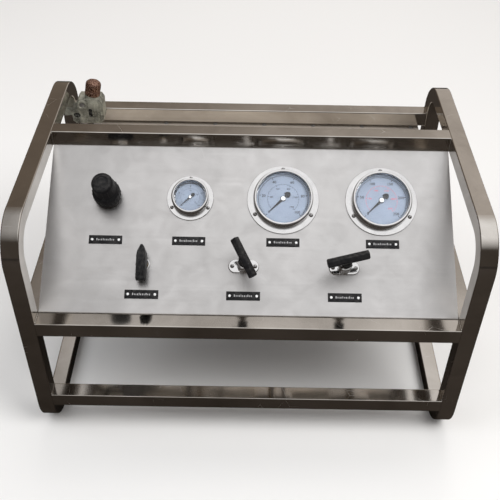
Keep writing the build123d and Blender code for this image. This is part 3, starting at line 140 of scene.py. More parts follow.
class EffectShelf:
    """Builds each shared effect once and places it in materials."""

    def __init__(self) -> None:
        """Start with no effect built."""
        self.made: dict[SurfaceEffect, Tree] = {}

    def place(self, tree: Tree, effect: SurfaceEffect, feeds: dict | None = None) -> Socket:
        """Put an effect in a material.

        Args:
            tree: The material's node tree.
            effect: Which effect.
            feeds: Values or sockets for the effect's inputs.

        Returns:
            The effect's only output.
        """
        if effect not in self.made:
            builders = {
                SurfaceEffect.GRAIN: self._grain,
                SurfaceEffect.CLOUD: self._cloud,
                SurfaceEffect.SCUFFS: self._scuffs,
                SurfaceEffect.DUST: self._dust,
            }
            self.made[effect] = builders[effect]()
        return node(tree, "Group", feeds, node_tree=self.made[effect]).outputs[0]

    @staticmethod
    def _open(effect: SurfaceEffect, floats: dict[str, float]) -> tuple[Tree, Shader, Shader]:
        """Start a group with a Vector input, float inputs and one value output.

        Args:
            effect: The effect that the group is named for.
            floats: Float inputs and their usual values.

        Returns:
            The group, its input node and its output node.
        """
        group = bpy.data.node_groups.new(effect.value, "ShaderNodeTree")
        group.interface.new_socket(name="Vector", in_out="INPUT", socket_type="NodeSocketVector")
        for name, value in floats.items():
            made = group.interface.new_socket(name=name, in_out="INPUT", socket_type="NodeSocketFloat")
            made.default_value = value
        group.interface.new_socket(name="Value", in_out="OUTPUT", socket_type="NodeSocketFloat")
        return group, group.nodes.new("NodeGroupInput"), group.nodes.new("NodeGroupOutput")

    def _grain(self) -> Tree:
        """Fine lines along X of the incoming vector, as brushing and polishing leave.

        Returns:
            The node group.
        """
        group, inputs, result = self._open(SurfaceEffect.GRAIN, {"Across": 900.0, "Along": 14.0})
        stretch = node(group, "CombineXYZ", {
            "X": inputs.outputs["Along"], "Y": inputs.outputs["Across"], "Z": inputs.outputs["Across"]})
        scaled = node(group, "VectorMath", {0: inputs.outputs["Vector"], 1: stretch.outputs[0]},
                      operation="MULTIPLY")
        fine = node(group, "TexNoise", {"Vector": scaled.outputs[0], "Scale": 1.0, "Detail": 3.0,
                                        "Roughness": 0.7})
        broad = node(group, "TexNoise", {"Vector": scaled.outputs[0], "Scale": 0.21, "Detail": 1.0})
        both = node(group, "Math", {0: fine.outputs["Fac"], 1: broad.outputs["Fac"]}, operation="ADD")
        half = node(group, "Math", {0: both.outputs[0], 1: 0.5}, operation="MULTIPLY")
        group.links.new(half.outputs[0], result.inputs[0])
        return group

    def _cloud(self) -> Tree:
        """Broad soft patches, as handling and uneven polishing leave.

        Returns:
            The node group.
        """
        group, inputs, result = self._open(SurfaceEffect.CLOUD, {"Scale": 6.0, "Contrast": 0.5})
        noise = node(group, "TexNoise", {"Vector": inputs.outputs["Vector"], "Scale": inputs.outputs["Scale"],
                                         "Detail": 5.0, "Roughness": 0.55, "Distortion": 0.6})
        low = node(group, "Math", {0: 0.5, 1: inputs.outputs["Contrast"]}, operation="SUBTRACT")
        high = node(group, "Math", {0: 0.5, 1: inputs.outputs["Contrast"]}, operation="ADD")
        spreading = node(group, "MapRange", {"Value": noise.outputs["Fac"], "From Min": low.outputs[0],
                                             "From Max": high.outputs[0]})
        group.links.new(spreading.outputs["Result"], result.inputs[0])
        return group

    def _scuffs(self) -> Tree:
        """Sparse fine scratches in several directions.

        Returns:
            The node group.
        """
        group, inputs, result = self._open(SurfaceEffect.SCUFFS, {"Scale": 40.0, "Width": 0.02})
        bend = node(group, "TexNoise", {"Vector": inputs.outputs["Vector"], "Scale": 9.0, "Detail": 2.0})
        moved = node(group, "VectorMath", {0: bend.outputs["Color"], 1: (0.02, 0.02, 0.02),
                                           2: inputs.outputs["Vector"]}, operation="MULTIPLY_ADD")
        cells = node(group, "TexVoronoi", {"Vector": moved.outputs[0], "Scale": inputs.outputs["Scale"]},
                     feature="DISTANCE_TO_EDGE")
        line = node(group, "MapRange", {"Value": cells.outputs["Distance"], "From Min": 0.0,
                                        "From Max": inputs.outputs["Width"], "To Min": 1.0, "To Max": 0.0})
        patch = node(group, "TexNoise", {"Vector": inputs.outputs["Vector"], "Scale": 21.0, "Detail": 2.0})
        some = node(group, "MapRange", {"Value": patch.outputs["Fac"], "From Min": 0.56, "From Max": 0.64})
        both = node(group, "Math", {0: line.outputs["Result"], 1: some.outputs["Result"]},
                    operation="MULTIPLY")
        group.links.new(both.outputs[0], result.inputs[0])
        return group

    def _dust(self) -> Tree:
        """Thin dust that settles on faces that look up.

        Returns:
            The node group.
        """
        group, inputs, result = self._open(SurfaceEffect.DUST, {"Amount": 0.3})
        facing = node(group, "SeparateXYZ", {0: node(group, "NewGeometry").outputs["Normal"]})
        up = node(group, "MapRange", {"Value": facing.outputs["Z"], "From Min": 0.2, "From Max": 1.0})
        speck = node(group, "TexNoise", {"Vector": inputs.outputs["Vector"], "Scale": 160.0, "Detail": 4.0})
        thin = node(group, "MapRange", {"Value": speck.outputs["Fac"], "From Min": 0.42, "From Max": 0.75})
        both = node(group, "Math", {0: up.outputs["Result"], 1: thin.outputs["Result"]},
                    operation="MULTIPLY")
        amount = node(group, "Math", {0: both.outputs[0], 1: inputs.outputs["Amount"]},
                      operation="MULTIPLY")
        group.links.new(amount.outputs[0], result.inputs[0])
        return group


EFFECTS = EffectShelf()


class GrainRun(Enum):
    """Direction that a finish's polishing lines run."""

    ALONG_X = (0.0, 0.0, 0.0)
    ALONG_Y = (0.0, 0.0, QUARTER)


@dataclass(frozen=True)
class Finish:
    """A material of the unit, and the name of its slot."""

    name: str
    slot: str
    colour: Colour = (0.7, 0.7, 0.7)
    metallic: float = 1.0
    roughness: float = 0.3

    def material(self) -> bpy.types.Material:
        """Find or build this finish's material.

        Returns:
            The material, built once.
        """
        found = bpy.data.materials.get(self.name)
        if found is None:
            found = bpy.data.materials.new(self.name)
            found.use_nodes = True
            tree = found.node_tree
            tree.nodes.clear()
            shader = node(tree, "BsdfPrincipled", {
                "Base Color": self.colour, "Metallic": self.metallic, "Roughness": self.roughness})
            result = node(tree, "OutputMaterial", {"Surface": shader.outputs[0]})
            result.location = (400, 0)
            place = node(tree, "TexCoord").outputs["Object"]
            self.dress(tree, shader, place)
            found.diffuse_color = (*self.colour, 1.0)
        return found

    def dress(self, tree: Tree, shader: Shader, place: Socket) -> None:
        """Add the surface detail; a plain finish has none.

        Args:
            tree: The material's node tree.
            shader: Its Principled BSDF.
            place: Object coordinates.
        """

    def lay(self, tree: Tree, shader: Shader, height: Socket, strength: float,
            distance: float) -> None:
        """Raise the surface by a height map.

        Args:
            tree: The material's node tree.
            shader: Its Principled BSDF.
            height: Height socket.
            strength: Share of the bump that shows.
            distance: Height in metres at 1.
        """
        bump = node(tree, "Bump", {"Strength": strength, "Distance": distance, "Height": height})
        tree.links.new(bump.outputs[0], shader.inputs["Normal"])


@dataclass(frozen=True)
class BuffedTube(Finish):
    """Mirror-buffed stainless tube, slightly wavy, with haze and fine lines along it."""

    shade: Colour = (0.5, 0.47, 0.43)
    run: GrainRun = GrainRun.ALONG_X
    wave: float = 0.0016

    def dress(self, tree: Tree, shader: Shader, place: Socket) -> None:
        """Add haze, buffing lines, scuffs and the tube's slow waviness.

        Args:
            tree: The material's node tree.
            shader: Its Principled BSDF.
            place: Object coordinates.
        """
        turned = node(tree, "Mapping", {"Vector": place, "Rotation": self.run.value}).outputs[0]
        cloud = EFFECTS.place(tree, SurfaceEffect.CLOUD, {"Vector": place, "Scale": 7.0, "Contrast": 0.22})
        lines = EFFECTS.place(tree, SurfaceEffect.GRAIN, {"Vector": turned, "Across": 420.0, "Along": 9.0})
        marks = EFFECTS.place(tree, SurfaceEffect.SCUFFS, {"Vector": place, "Scale": 26.0, "Width": 0.012})
        tone = mixed(tree, cloud, self.shade, self.colour)
        tree.links.new(mixed(tree, marks, tone, (0.82, 0.8, 0.77)), shader.inputs["Base Color"])
        haze = spread(tree, cloud, 0.0, 1.0, self.roughness + 0.09, self.roughness)
        worn = node(tree, "Math", {0: marks, 1: 0.2, 2: haze}, operation="MULTIPLY_ADD")
        tree.links.new(worn.outputs[0], shader.inputs["Roughness"])
        slow = node(tree, "TexNoise", {"Vector": place, "Scale": 13.0, "Detail": 1.0})
        height = node(tree, "Math", {0: lines, 1: 0.012, 2: slow.outputs["Fac"]}, operation="MULTIPLY_ADD")
        self.lay(tree, shader, height.outputs[0], 0.35, self.wave)


@dataclass(frozen=True)
class BrushedSheet(Finish):
    """Brushed stainless sheet with cloudy patches and a few handling marks."""

    shade: Colour = (0.58, 0.575, 0.57)
    run: GrainRun = GrainRun.ALONG_X
    grain: float = 0.00004

    def dress(self, tree: Tree, shader: Shader, place: Socket) -> None:
        """Add the brushed grain, the cloudy patches and the scuffs.

        Args:
            tree: The material's node tree.
            shader: Its Principled BSDF.
            place: Object coordinates.
        """
        turned = node(tree, "Mapping", {"Vector": place, "Rotation": self.run.value}).outputs[0]
        lines = EFFECTS.place(tree, SurfaceEffect.GRAIN, {"Vector": turned, "Across": 1100.0, "Along": 16.0})
        cloud = EFFECTS.place(tree, SurfaceEffect.CLOUD, {"Vector": place, "Scale": 7.5, "Contrast": 0.2})
        patch = EFFECTS.place(tree, SurfaceEffect.CLOUD, {"Vector": place, "Scale": 34.0, "Contrast": 0.3})
        marks = EFFECTS.place(tree, SurfaceEffect.SCUFFS, {"Vector": place, "Scale": 30.0, "Width": 0.012})
        tone = mixed(tree, cloud, self.shade, self.colour)
        streak = mixed(tree, spread(tree, lines, 0.36, 0.64, 0.0, 0.14), tone, (0.9, 0.9, 0.9))
        smudge = mixed(tree, spread(tree, patch, 0.0, 1.0, 0.0, 0.12), streak, (0.52, 0.5, 0.49))
        scored = mixed(tree, spread(tree, marks, 0.0, 1.0, 0.0, 0.3), smudge, (0.92, 0.92, 0.92))
        tree.links.new(scored, shader.inputs["Base Color"])
        dull = spread(tree, patch, 0.0, 1.0, self.roughness - 0.05, self.roughness + 0.06)
        rough = node(tree, "Math", {0: lines, 1: 0.16, 2: dull}, operation="MULTIPLY_ADD")
        tree.links.new(rough.outputs[0], shader.inputs["Roughness"])
        self.lay(tree, shader, lines, 0.5, self.grain)


@dataclass(frozen=True)
class PlatedSteel(Finish):
    """Bright plated or turned steel with faint rings and light tarnish."""

    shade: Colour = (0.62, 0.62, 0.62)
    pitch: float = 900.0

    def dress(self, tree: Tree, shader: Shader, place: Socket) -> None:
        """Add fine tool lines, tarnish and scuffs.

        Args:
            tree: The material's node tree.
            shader: Its Principled BSDF.
            place: Object coordinates.
        """
        lines = EFFECTS.place(tree, SurfaceEffect.GRAIN, {"Vector": place, "Across": self.pitch,
                                                          "Along": self.pitch * 0.5})
        cloud = EFFECTS.place(tree, SurfaceEffect.CLOUD, {"Vector": place, "Scale": 38.0, "Contrast": 0.25})
        marks = EFFECTS.place(tree, SurfaceEffect.SCUFFS, {"Vector": place, "Scale": 70.0, "Width": 0.015})
        tone = mixed(tree, cloud, self.shade, self.colour)
        tree.links.new(mixed(tree, marks, tone, (0.92, 0.92, 0.9)), shader.inputs["Base Color"])
        rough = spread(tree, cloud, 0.0, 1.0, self.roughness + 0.08, self.roughness)
        tree.links.new(rough, shader.inputs["Roughness"])
        self.lay(tree, shader, lines, 0.25, 0.00003)


@dataclass(frozen=True)
class MouldedPlastic(Finish):
    """Black moulded plastic with a fine spark texture, greyer where it is handled."""

    worn: Colour = (0.06, 0.058, 0.055)
    texture: float = 1500.0

    def dress(self, tree: Tree, shader: Shader, place: Socket) -> None:
        """Add the mould texture, handling shine and dust.

        Args:
            tree: The material's node tree.
            shader: Its Principled BSDF.
            place: Object coordinates.
        """
        shader.inputs["Specular IOR Level"].default_value = 0.28
        spark = node(tree, "TexNoise", {"Vector": place, "Scale": self.texture, "Detail": 2.0})
        cloud = EFFECTS.place(tree, SurfaceEffect.CLOUD, {"Vector": place, "Scale": 55.0, "Contrast": 0.25})
        dust = EFFECTS.place(tree, SurfaceEffect.DUST, {"Vector": place, "Amount": 0.1})
        marks = EFFECTS.place(tree, SurfaceEffect.SCUFFS, {"Vector": place, "Scale": 90.0, "Width": 0.02})
        tone = mixed(tree, spread(tree, cloud, 0.0, 1.0, 0.0, 0.5), self.colour, self.worn)
        dusty = mixed(tree, dust, tone, (0.32, 0.3, 0.28))
        tree.links.new(mixed(tree, spread(tree, marks, 0.0, 1.0, 0.0, 0.5), dusty, (0.09, 0.09, 0.09)),
                       shader.inputs["Base Color"])
        rough = spread(tree, cloud, 0.0, 1.0, self.roughness - 0.08, self.roughness + 0.1)
        tree.links.new(rough, shader.inputs["Roughness"])
        self.lay(tree, shader, spark.outputs["Fac"], 0.35, 0.00012)


@dataclass(frozen=True)
class CastMetal(Finish):
    """Sand-cast metal with a pebbled skin, dark in its hollows."""

    hollow: Colour = (0.12, 0.12, 0.1)
    pebble: float = 420.0
    depth: float = 0.0005

    def dress(self, tree: Tree, shader: Shader, place: Socket) -> None:
        """Add the pebbled skin, the stains and the bare high spots.

        Args:
            tree: The material's node tree.
            shader: Its Principled BSDF.
            place: Object coordinates.
        """
        coarse = node(tree, "TexNoise", {"Vector": place, "Scale": self.pebble, "Detail": 5.0,
                                         "Roughness": 0.65})
        stain = EFFECTS.place(tree, SurfaceEffect.CLOUD, {"Vector": place, "Scale": 60.0, "Contrast": 0.18})
        dust = EFFECTS.place(tree, SurfaceEffect.DUST, {"Vector": place, "Amount": 0.4})
        tone = mixed(tree, stain, self.hollow, self.colour)
        peaks = spread(tree, coarse.outputs["Fac"], 0.5, 0.72, 0.0, 0.6)
        bare = mixed(tree, peaks, tone, (0.66, 0.66, 0.6))
        tree.links.new(mixed(tree, dust, bare, (0.5, 0.47, 0.42)), shader.inputs["Base Color"])
        rough = spread(tree, coarse.outputs["Fac"], 0.3, 0.7, self.roughness + 0.12, self.roughness - 0.1)
        tree.links.new(rough, shader.inputs["Roughness"])
        self.lay(tree, shader, coarse.outputs["Fac"], 0.6, self.depth)


@dataclass(frozen=True)
class SinteredBronze(Finish):
    """Pressed bronze grains, shiny on top and dark between."""

    pit: Colour = (0.11, 0.05, 0.03)
    grains: float = 520.0

    def dress(self, tree: Tree, shader: Shader, place: Socket) -> None:
        """Add the grains and the browned patches.

        Args:
            tree: The material's node tree.
            shader: Its Principled BSDF.
            place: Object coordinates.
        """
        cells = node(tree, "TexVoronoi", {"Vector": place, "Scale": self.grains})
        round_top = spread(tree, cells.outputs["Distance"], 0.0, 0.7, 1.0, 0.0)
        brown = EFFECTS.place(tree, SurfaceEffect.CLOUD, {"Vector": place, "Scale": 70.0, "Contrast": 0.25})
        tone = mixed(tree, spread(tree, brown, 0.0, 1.0, 0.35, 1.0), (0.26, 0.13, 0.085), self.colour)
        tree.links.new(mixed(tree, spread(tree, round_top, 0.1, 0.6, 0.0, 1.0), self.pit, tone),
                       shader.inputs["Base Color"])
        tree.links.new(spread(tree, round_top, 0.0, 1.0, self.roughness + 0.3, self.roughness),
                       shader.inputs["Roughness"])
        self.lay(tree, shader, round_top, 0.5, 0.0004)


@dataclass(frozen=True)
class DialEnamel(Finish):
    """Bluish white dial paint seen through the gauge's liquid, faintly mottled."""

    def dress(self, tree: Tree, shader: Shader, place: Socket) -> None:
        """Add the slight mottling of the paint and the liquid.

        Args:
            tree: The material's node tree.
            shader: Its Principled BSDF.
            place: Object coordinates.
        """
        cloud = EFFECTS.place(tree, SurfaceEffect.CLOUD, {"Vector": place, "Scale": 24.0, "Contrast": 0.3})
        fine = node(tree, "TexNoise", {"Vector": place, "Scale": 700.0, "Detail": 2.0})
        deep = tuple(0.86 * c for c in self.colour)
        tree.links.new(mixed(tree, cloud, deep, self.colour), shader.inputs["Base Color"])
        tree.links.new(spread(tree, fine.outputs["Fac"], 0.3, 0.7, self.roughness - 0.05,
                              self.roughness + 0.05), shader.inputs["Roughness"])
        self.lay(tree, shader, fine.outputs["Fac"], 0.15, 0.00002)


@dataclass(frozen=True)
class PrintedInk(Finish):
    """Screen-printed ink or paint, slightly uneven in cover."""

    thin: Colour = (0.3, 0.3, 0.3)

    def dress(self, tree: Tree, shader: Shader, place: Socket) -> None:
        """Add uneven cover to the ink.

        Args:
            tree: The material's node tree.
            shader: Its Principled BSDF.
            place: Object coordinates.
        """
        cover = node(tree, "TexNoise", {"Vector": place, "Scale": 900.0, "Detail": 3.0})
        worn = spread(tree, cover.outputs["Fac"], 0.55, 0.75, 0.0, 0.6)
        tree.links.new(mixed(tree, worn, self.colour, self.thin), shader.inputs["Base Color"])
        tree.links.new(spread(tree, worn, 0.0, 1.0, self.roughness, self.roughness + 0.15),
                       shader.inputs["Roughness"])


@dataclass(frozen=True)
class GaugeGlass(Finish):
    """Clear flat window with the faintest smears."""

    def dress(self, tree: Tree, shader: Shader, place: Socket) -> None:
        """Make it clear, let light fall through, and smear it a little.

        Args:
            tree: The material's node tree.
            shader: Its Principled BSDF.
            place: Object coordinates.
        """
        shader.inputs["Transmission Weight"].default_value = 1.0
        shader.inputs["IOR"].default_value = 1.42
        smear = EFFECTS.place(tree, SurfaceEffect.CLOUD, {"Vector": place, "Scale": 45.0, "Contrast": 0.2})
        tree.links.new(spread(tree, smear, 0.0, 1.0, 0.015, 0.05), shader.inputs["Roughness"])
        shadow = node(tree, "LightPath").outputs["Is Shadow Ray"]
        tree.links.new(spread(tree, shadow, 0.0, 1.0, 1.0, 0.06), shader.inputs["Alpha"])


TUBE = {
    run: BuffedTube(f"buffed_tube_{run.name.lower()}", "polished_tube", (0.80, 0.765, 0.72), 1.0, 0.06,
                    run=run)
    for run in GrainRun
}
PANEL_SHEET = BrushedSheet("brushed_panel", "brushed_sheet", (0.86, 0.85, 0.845), 1.0, 0.3,
                           shade=(0.73, 0.725, 0.72))
TANK_SHEET = BrushedSheet("brushed_tank", "brushed_sheet", (0.70, 0.685, 0.66), 1.0, 0.3,
                          shade=(0.5, 0.48, 0.45))
LID_SHEET = BrushedSheet("satin_lid", "brushed_sheet", (0.60, 0.53, 0.45), 0.35, 0.5,
                         shade=(0.46, 0.40, 0.34))
BRIGHT = PlatedSteel("bright_plating", "bright_steel", (0.86, 0.86, 0.86), 1.0, 0.07,
                     shade=(0.74, 0.74, 0.74))
MACHINED = PlatedSteel("machined_steel", "machined_steel", (0.62, 0.62, 0.61), 1.0, 0.26,
                       shade=(0.44, 0.44, 0.43), pitch=600.0)
PLASTIC = MouldedPlastic("black_moulding", "black_plastic", (0.005, 0.005, 0.006), 0.0, 0.44,
                         worn=(0.02, 0.02, 0.021))
# Black plastic of the function plates and end rings; also used as painted shade for the screw recesses and
# sockets.
BLACK_PLATE_AND_SHADE = MouldedPlastic("black_plate_and_shade", "black_plastic", (0.006, 0.006, 0.007), 0.0, 0.4,
                             worn=(0.02, 0.02, 0.022), texture=2400.0)
NEEDLE_PAINT = PrintedInk("needle_paint", "needle_black", (0.012, 0.012, 0.014), 0.0, 0.4,
                          thin=(0.05, 0.05, 0.05))
BLACK_INK = PrintedInk("black_ink", "needle_black", (0.012, 0.014, 0.018), 0.0, 0.5,
                       thin=(0.06, 0.07, 0.09))
RED_INK = PrintedInk("red_ink", "dial_face", (0.5, 0.09, 0.12), 0.0, 0.5, thin=(0.6, 0.3, 0.34))
WHITE_INK = PrintedInk("white_ink", "dial_face", (0.42, 0.42, 0.43), 0.0, 0.5, thin=(0.2, 0.2, 0.2))
WHITE_CAP = PrintedInk("white_cap", "dial_face", (0.82, 0.83, 0.84), 0.0, 0.3, thin=(0.7, 0.7, 0.7))
DIAL = DialEnamel("dial_enamel", "dial_face", (0.235, 0.28, 0.36), 0.0, 0.5)
LENS = GaugeGlass("gauge_glass", "clear_lens", (0.97, 0.985, 1.0), 0.0, 0.02)
BRASS = PlatedSteel("turned_brass", "brass", (0.80, 0.58, 0.28), 1.0, 0.22, shade=(0.55, 0.38, 0.17))
BRONZE = SinteredBronze("sintered_bronze", "bronze", (0.86, 0.56, 0.44), 0.9, 0.3)
CASTING = CastMetal("grey_green_casting", "cast_body", (0.56, 0.56, 0.47), 0.45, 0.45)
# Near-black painted shade for the bottoms of the casting's cored pockets.
POCKET_SHADE = CastMetal("casting_pocket_shade", "cast_body", (0.03, 0.03, 0.028), 0.2, 0.7, hollow=(0.01, 0.01, 0.01))
ALLOY = CastMetal("pump_alloy", "pump_alloy", (0.70, 0.70, 0.69), 0.9, 0.34, hollow=(0.5, 0.5, 0.49),
                  pebble=900.0, depth=0.0001)


# ------------------------------------------------------------------ pieces
class Workpiece:
    """One piece being shaped in millimetres, on the seat that is set for it."""

    ink_thickness = 0.04
    ink_boldness = 0.018

    def __init__(self, seat: Matrix | None = None) -> None:
        """Start empty.

        Args:
            seat: Where the next shapes stand, in millimetres; the origin if left out.
        """
        self.mesh = bmesh.new()
        self.seat = seat or Matrix.Identity(4)

    def stand_on(self, seat: Matrix) -> "Workpiece":
        """Put the next shapes on another seat and return this workpiece."""
        self.seat = seat
        return self

    def turned(self, profile: Sequence[Point], steps: int = 64, sweep: float = 2 * pi,
               start: float = 0.0) -> None:
        """Spin a profile round the seat's Z.

        Args:
            profile: Radius and height of each corner; it closes on itself unless it ends on the axis.
            steps: Number of steps round.
            sweep: Angle of the spin.
            start: Angle where the spin starts.
        """
        verts = [self.mesh.verts.new((radius, 0.0, height)) for radius, height in profile]
        edges = [self.mesh.edges.new(pair) for pair in zip(verts, verts[1:])]
        if profile[0][0] > ON_AXIS or profile[-1][0] > ON_AXIS:
            edges.append(self.mesh.edges.new((verts[-1], verts[0])))
        old = set(self.mesh.verts) - set(verts)
        whole = sweep > 2 * pi - ON_AXIS
        bmesh.ops.spin(self.mesh, geom=verts + edges, cent=(0, 0, 0), axis=(0, 0, 1), dvec=(0, 0, 0),
                       angle=sweep, steps=steps, use_merge=whole, use_duplicate=False)
        fresh = [v for v in self.mesh.verts if v not in old]
        bmesh.ops.remove_doubles(self.mesh, verts=fresh, dist=MERGE)
        fresh = [v for v in self.mesh.verts if v not in old]
        if not whole:
            rims = {e for v in fresh for e in v.link_edges if e.is_boundary}
            bmesh.ops.holes_fill(self.mesh, edges=list(rims), sides=0)
        faces = {f for v in fresh for f in v.link_faces}
        bmesh.ops.recalc_face_normals(self.mesh, faces=list(faces))
        bmesh.ops.transform(self.mesh, matrix=self.seat @ Matrix.Rotation(start, 4, "Z"), verts=fresh)

    def block(self, size: Sequence[float], at: Sequence[float] = (0, 0, 0), turn: float = 0.0) -> list:
        """Add a box.

        Args:
            size: Its sides.
            at: Its middle on the seat.
            turn: Turn about the seat's Z, before it is moved.

        Returns:
            Its vertices.
        """
        place = Matrix.Translation(Vector(at)) @ Matrix.Rotation(turn, 4, "Z") @ Matrix.Diagonal((*size, 1))
        return bmesh.ops.create_cube(self.mesh, size=1.0, matrix=self.seat @ place)["verts"]

    def prism(self, radius: float, low: float, high: float, sides: int = 6, at: Point = (0.0, 0.0),
              turn: float = 0.0, tip: float | None = None) -> list:
        """Add an upright prism or cone.

        Args:
            radius: Radius to its corners at the foot.
            low: Height of the foot.
            high: Height of the top.
            sides: Number of sides.
            at: Its middle on the seat.
            turn: Turn about its own axis.
            tip: Radius at the top, if it isn't the same.

        Returns:
            Its vertices.
        """
        place = Matrix.Translation((at[0], at[1], (low + high) / 2)) @ Matrix.Rotation(turn, 4, "Z")
        made = bmesh.ops.create_cone(
            self.mesh, cap_ends=True, cap_tris=False, segments=sides, radius1=radius,
            radius2=radius if tip is None else tip, depth=high - low, matrix=self.seat @ place)
        return made["verts"]

    def cross(self, length: float, width: float, depth: float, height: float, turn: float = 0.0) -> None:
        """Add the two bars of a cross recess.

        Args:
            length: Length of each bar.
            width: Width of each bar.
            depth: Thickness of each bar.
            height: Height of their middle on the seat.
            turn: Turn of the first bar about the seat's Z.
        """
        for lay in (turn, turn + QUARTER):
            self.block((length, width, depth), (0, 0, height), lay)

    def plate(self, outline: Sequence[Point], low: float, high: float) -> list:
        """Add a flat piece cut to an outline.

        Args:
            outline: Its corners in order.
            low: Height of its underside.
            high: Height of its top.

        Returns:
            Its vertices.
        """
        verts = [self.mesh.verts.new((x, y, low)) for x, y in outline]
        face = self.mesh.faces.new(verts)
        grown = bmesh.ops.extrude_face_region(self.mesh, geom=[face])["geom"]
        top = [g for g in grown if isinstance(g, bmesh.types.BMVert)]
        bmesh.ops.translate(self.mesh, vec=(0, 0, high - low), verts=top)
        faces = {f for v in verts + top for f in v.link_faces}
        bmesh.ops.recalc_face_normals(self.mesh, faces=list(faces))
        bmesh.ops.transform(self.mesh, matrix=self.seat, verts=verts + top)
        return verts + top

    def numeral(self, text: str, size: float, at: Sequence[float]) -> None:
        """Add a printed number.

        Args:
            text: The number.
            size: Height of the type.
            at: Its middle on the seat.
        """
        curve = bpy.data.curves.new("numeral", "FONT")
        curve.body, curve.size, curve.resolution_u = text, size, 2
        curve.extrude, curve.offset = self.ink_thickness, self.ink_boldness * size
        curve.align_x, curve.align_y = "CENTER", "CENTER"
        holder = bpy.data.objects.new("numeral", curve)
        flat = bpy.data.meshes.new_from_object(holder)
        flat.transform(self.seat @ Matrix.Translation(Vector(at)))
        self.mesh.from_mesh(flat)
        bpy.data.objects.remove(holder)
        bpy.data.curves.remove(curve)
        bpy.data.meshes.remove(flat)

    def soften(self, width: float, segments: int = 2, sharper: float = 30.0,
               verts: Iterable | None = None) -> None:
        """Round the sharp edges.

        Args:
            width: How far the rounding reaches.
            segments: Steps across it.
            sharper: Only edges that turn more than this, in degrees.
            verts: Only edges between these vertices, if given.
        """
        chosen = set(verts) if verts is not None else None
        edges = [e for e in self.mesh.edges if e.is_manifold and e.calc_face_angle(0.0) > radians(sharper)
                 and (chosen is None or all(v in chosen for v in e.verts))]
        bmesh.ops.bevel(self.mesh, geom=edges, offset=width, offset_type="OFFSET", segments=segments,
                        profile=0.5, affect="EDGES", clamp_overlap=True, material=-1)

    def finish(self, name: str, look: Finish, body: str, stands_for: Sequence[str] = (),
               smooth: float = 32.0) -> bpy.types.Object:
        """Make the workpiece a piece of the unit.

        Args:
            name: Its name.
            look: Its finish.
            body: The CAD body that it moves with.
            stands_for: CAD nodes that it is shown in place of.
            smooth: Edges that turn less than this are shaded smooth, in degrees.

        Returns:
            The finished object.
        """
        bmesh.ops.remove_doubles(self.mesh, verts=self.mesh.verts, dist=MERGE)
        bmesh.ops.transform(self.mesh, matrix=Matrix.Scale(MILLIMETRE, 4), verts=self.mesh.verts)
        data = bpy.data.meshes.new(name)
        self.mesh.to_mesh(data)
        self.mesh.free()
        data.materials.append(look.material())
        data.shade_smooth()
        data.set_sharp_from_angle(angle=radians(smooth))
        piece = bpy.data.objects.new(name, data)
        bpy.context.scene.collection.objects.link(piece)
        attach(piece, body)
        if stands_for:
            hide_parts(*stands_for)
        log.info("%s: %d faces on %s", name, len(data.polygons), body)
        return piece


def dress_nodes(look: Finish, *names: str) -> None:
    """Give CAD nodes a finish, and leave their meshes alone.

    Args:
        look: The finish.
        *names: The nodes.
    """
    for name in names:
        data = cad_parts[name].data
        data.materials.clear()
        data.materials.append(look.material())
        log.info("%s: %s", name, look.name)


@dataclass(frozen=True)
class PanelFace:
    """The sloping panel's front face, and where the controls stand on it.

    The x places count from the panel's middle, and the rows up the slope from its foot.
    """

    foot: Point = (-240.0, 302.0)
    head: Point = (29.0, 471.5)
    upper_row: float = 216.0
    lower_row: float = 88.0
    regulator_x: float = -260.0
    gauges_x: tuple[float, float, float] = (-110.0, 60.0, 240.0)
    switch_x: float = -190.0
    valves_x: tuple[float, float] = (-10.0, 170.0)

    @property
    def slope(self) -> float:
        """Angle of the panel above level."""
        return atan2(self.head[1] - self.foot[1], self.head[0] - self.foot[0])

    def seat(self, x: float, up: float, height: float = 0.0, turn: float = 0.0) -> Matrix:
        """Place on the panel, with Z out of it.

        Args:
            x: To the right of the panel's middle.
            up: Up the slope from its lower edge.
            height: Out of the panel.
            turn: Turn about Z, in degrees.

        Returns:
            The seat, in millimetres.
        """
        start = Matrix.Translation((0, *self.foot)) @ Matrix.Rotation(self.slope, 4, "X")
        return start @ Matrix.Translation((x, up, height)) @ Matrix.Rotation(radians(turn), 4, "Z")


PANEL = PanelFace()


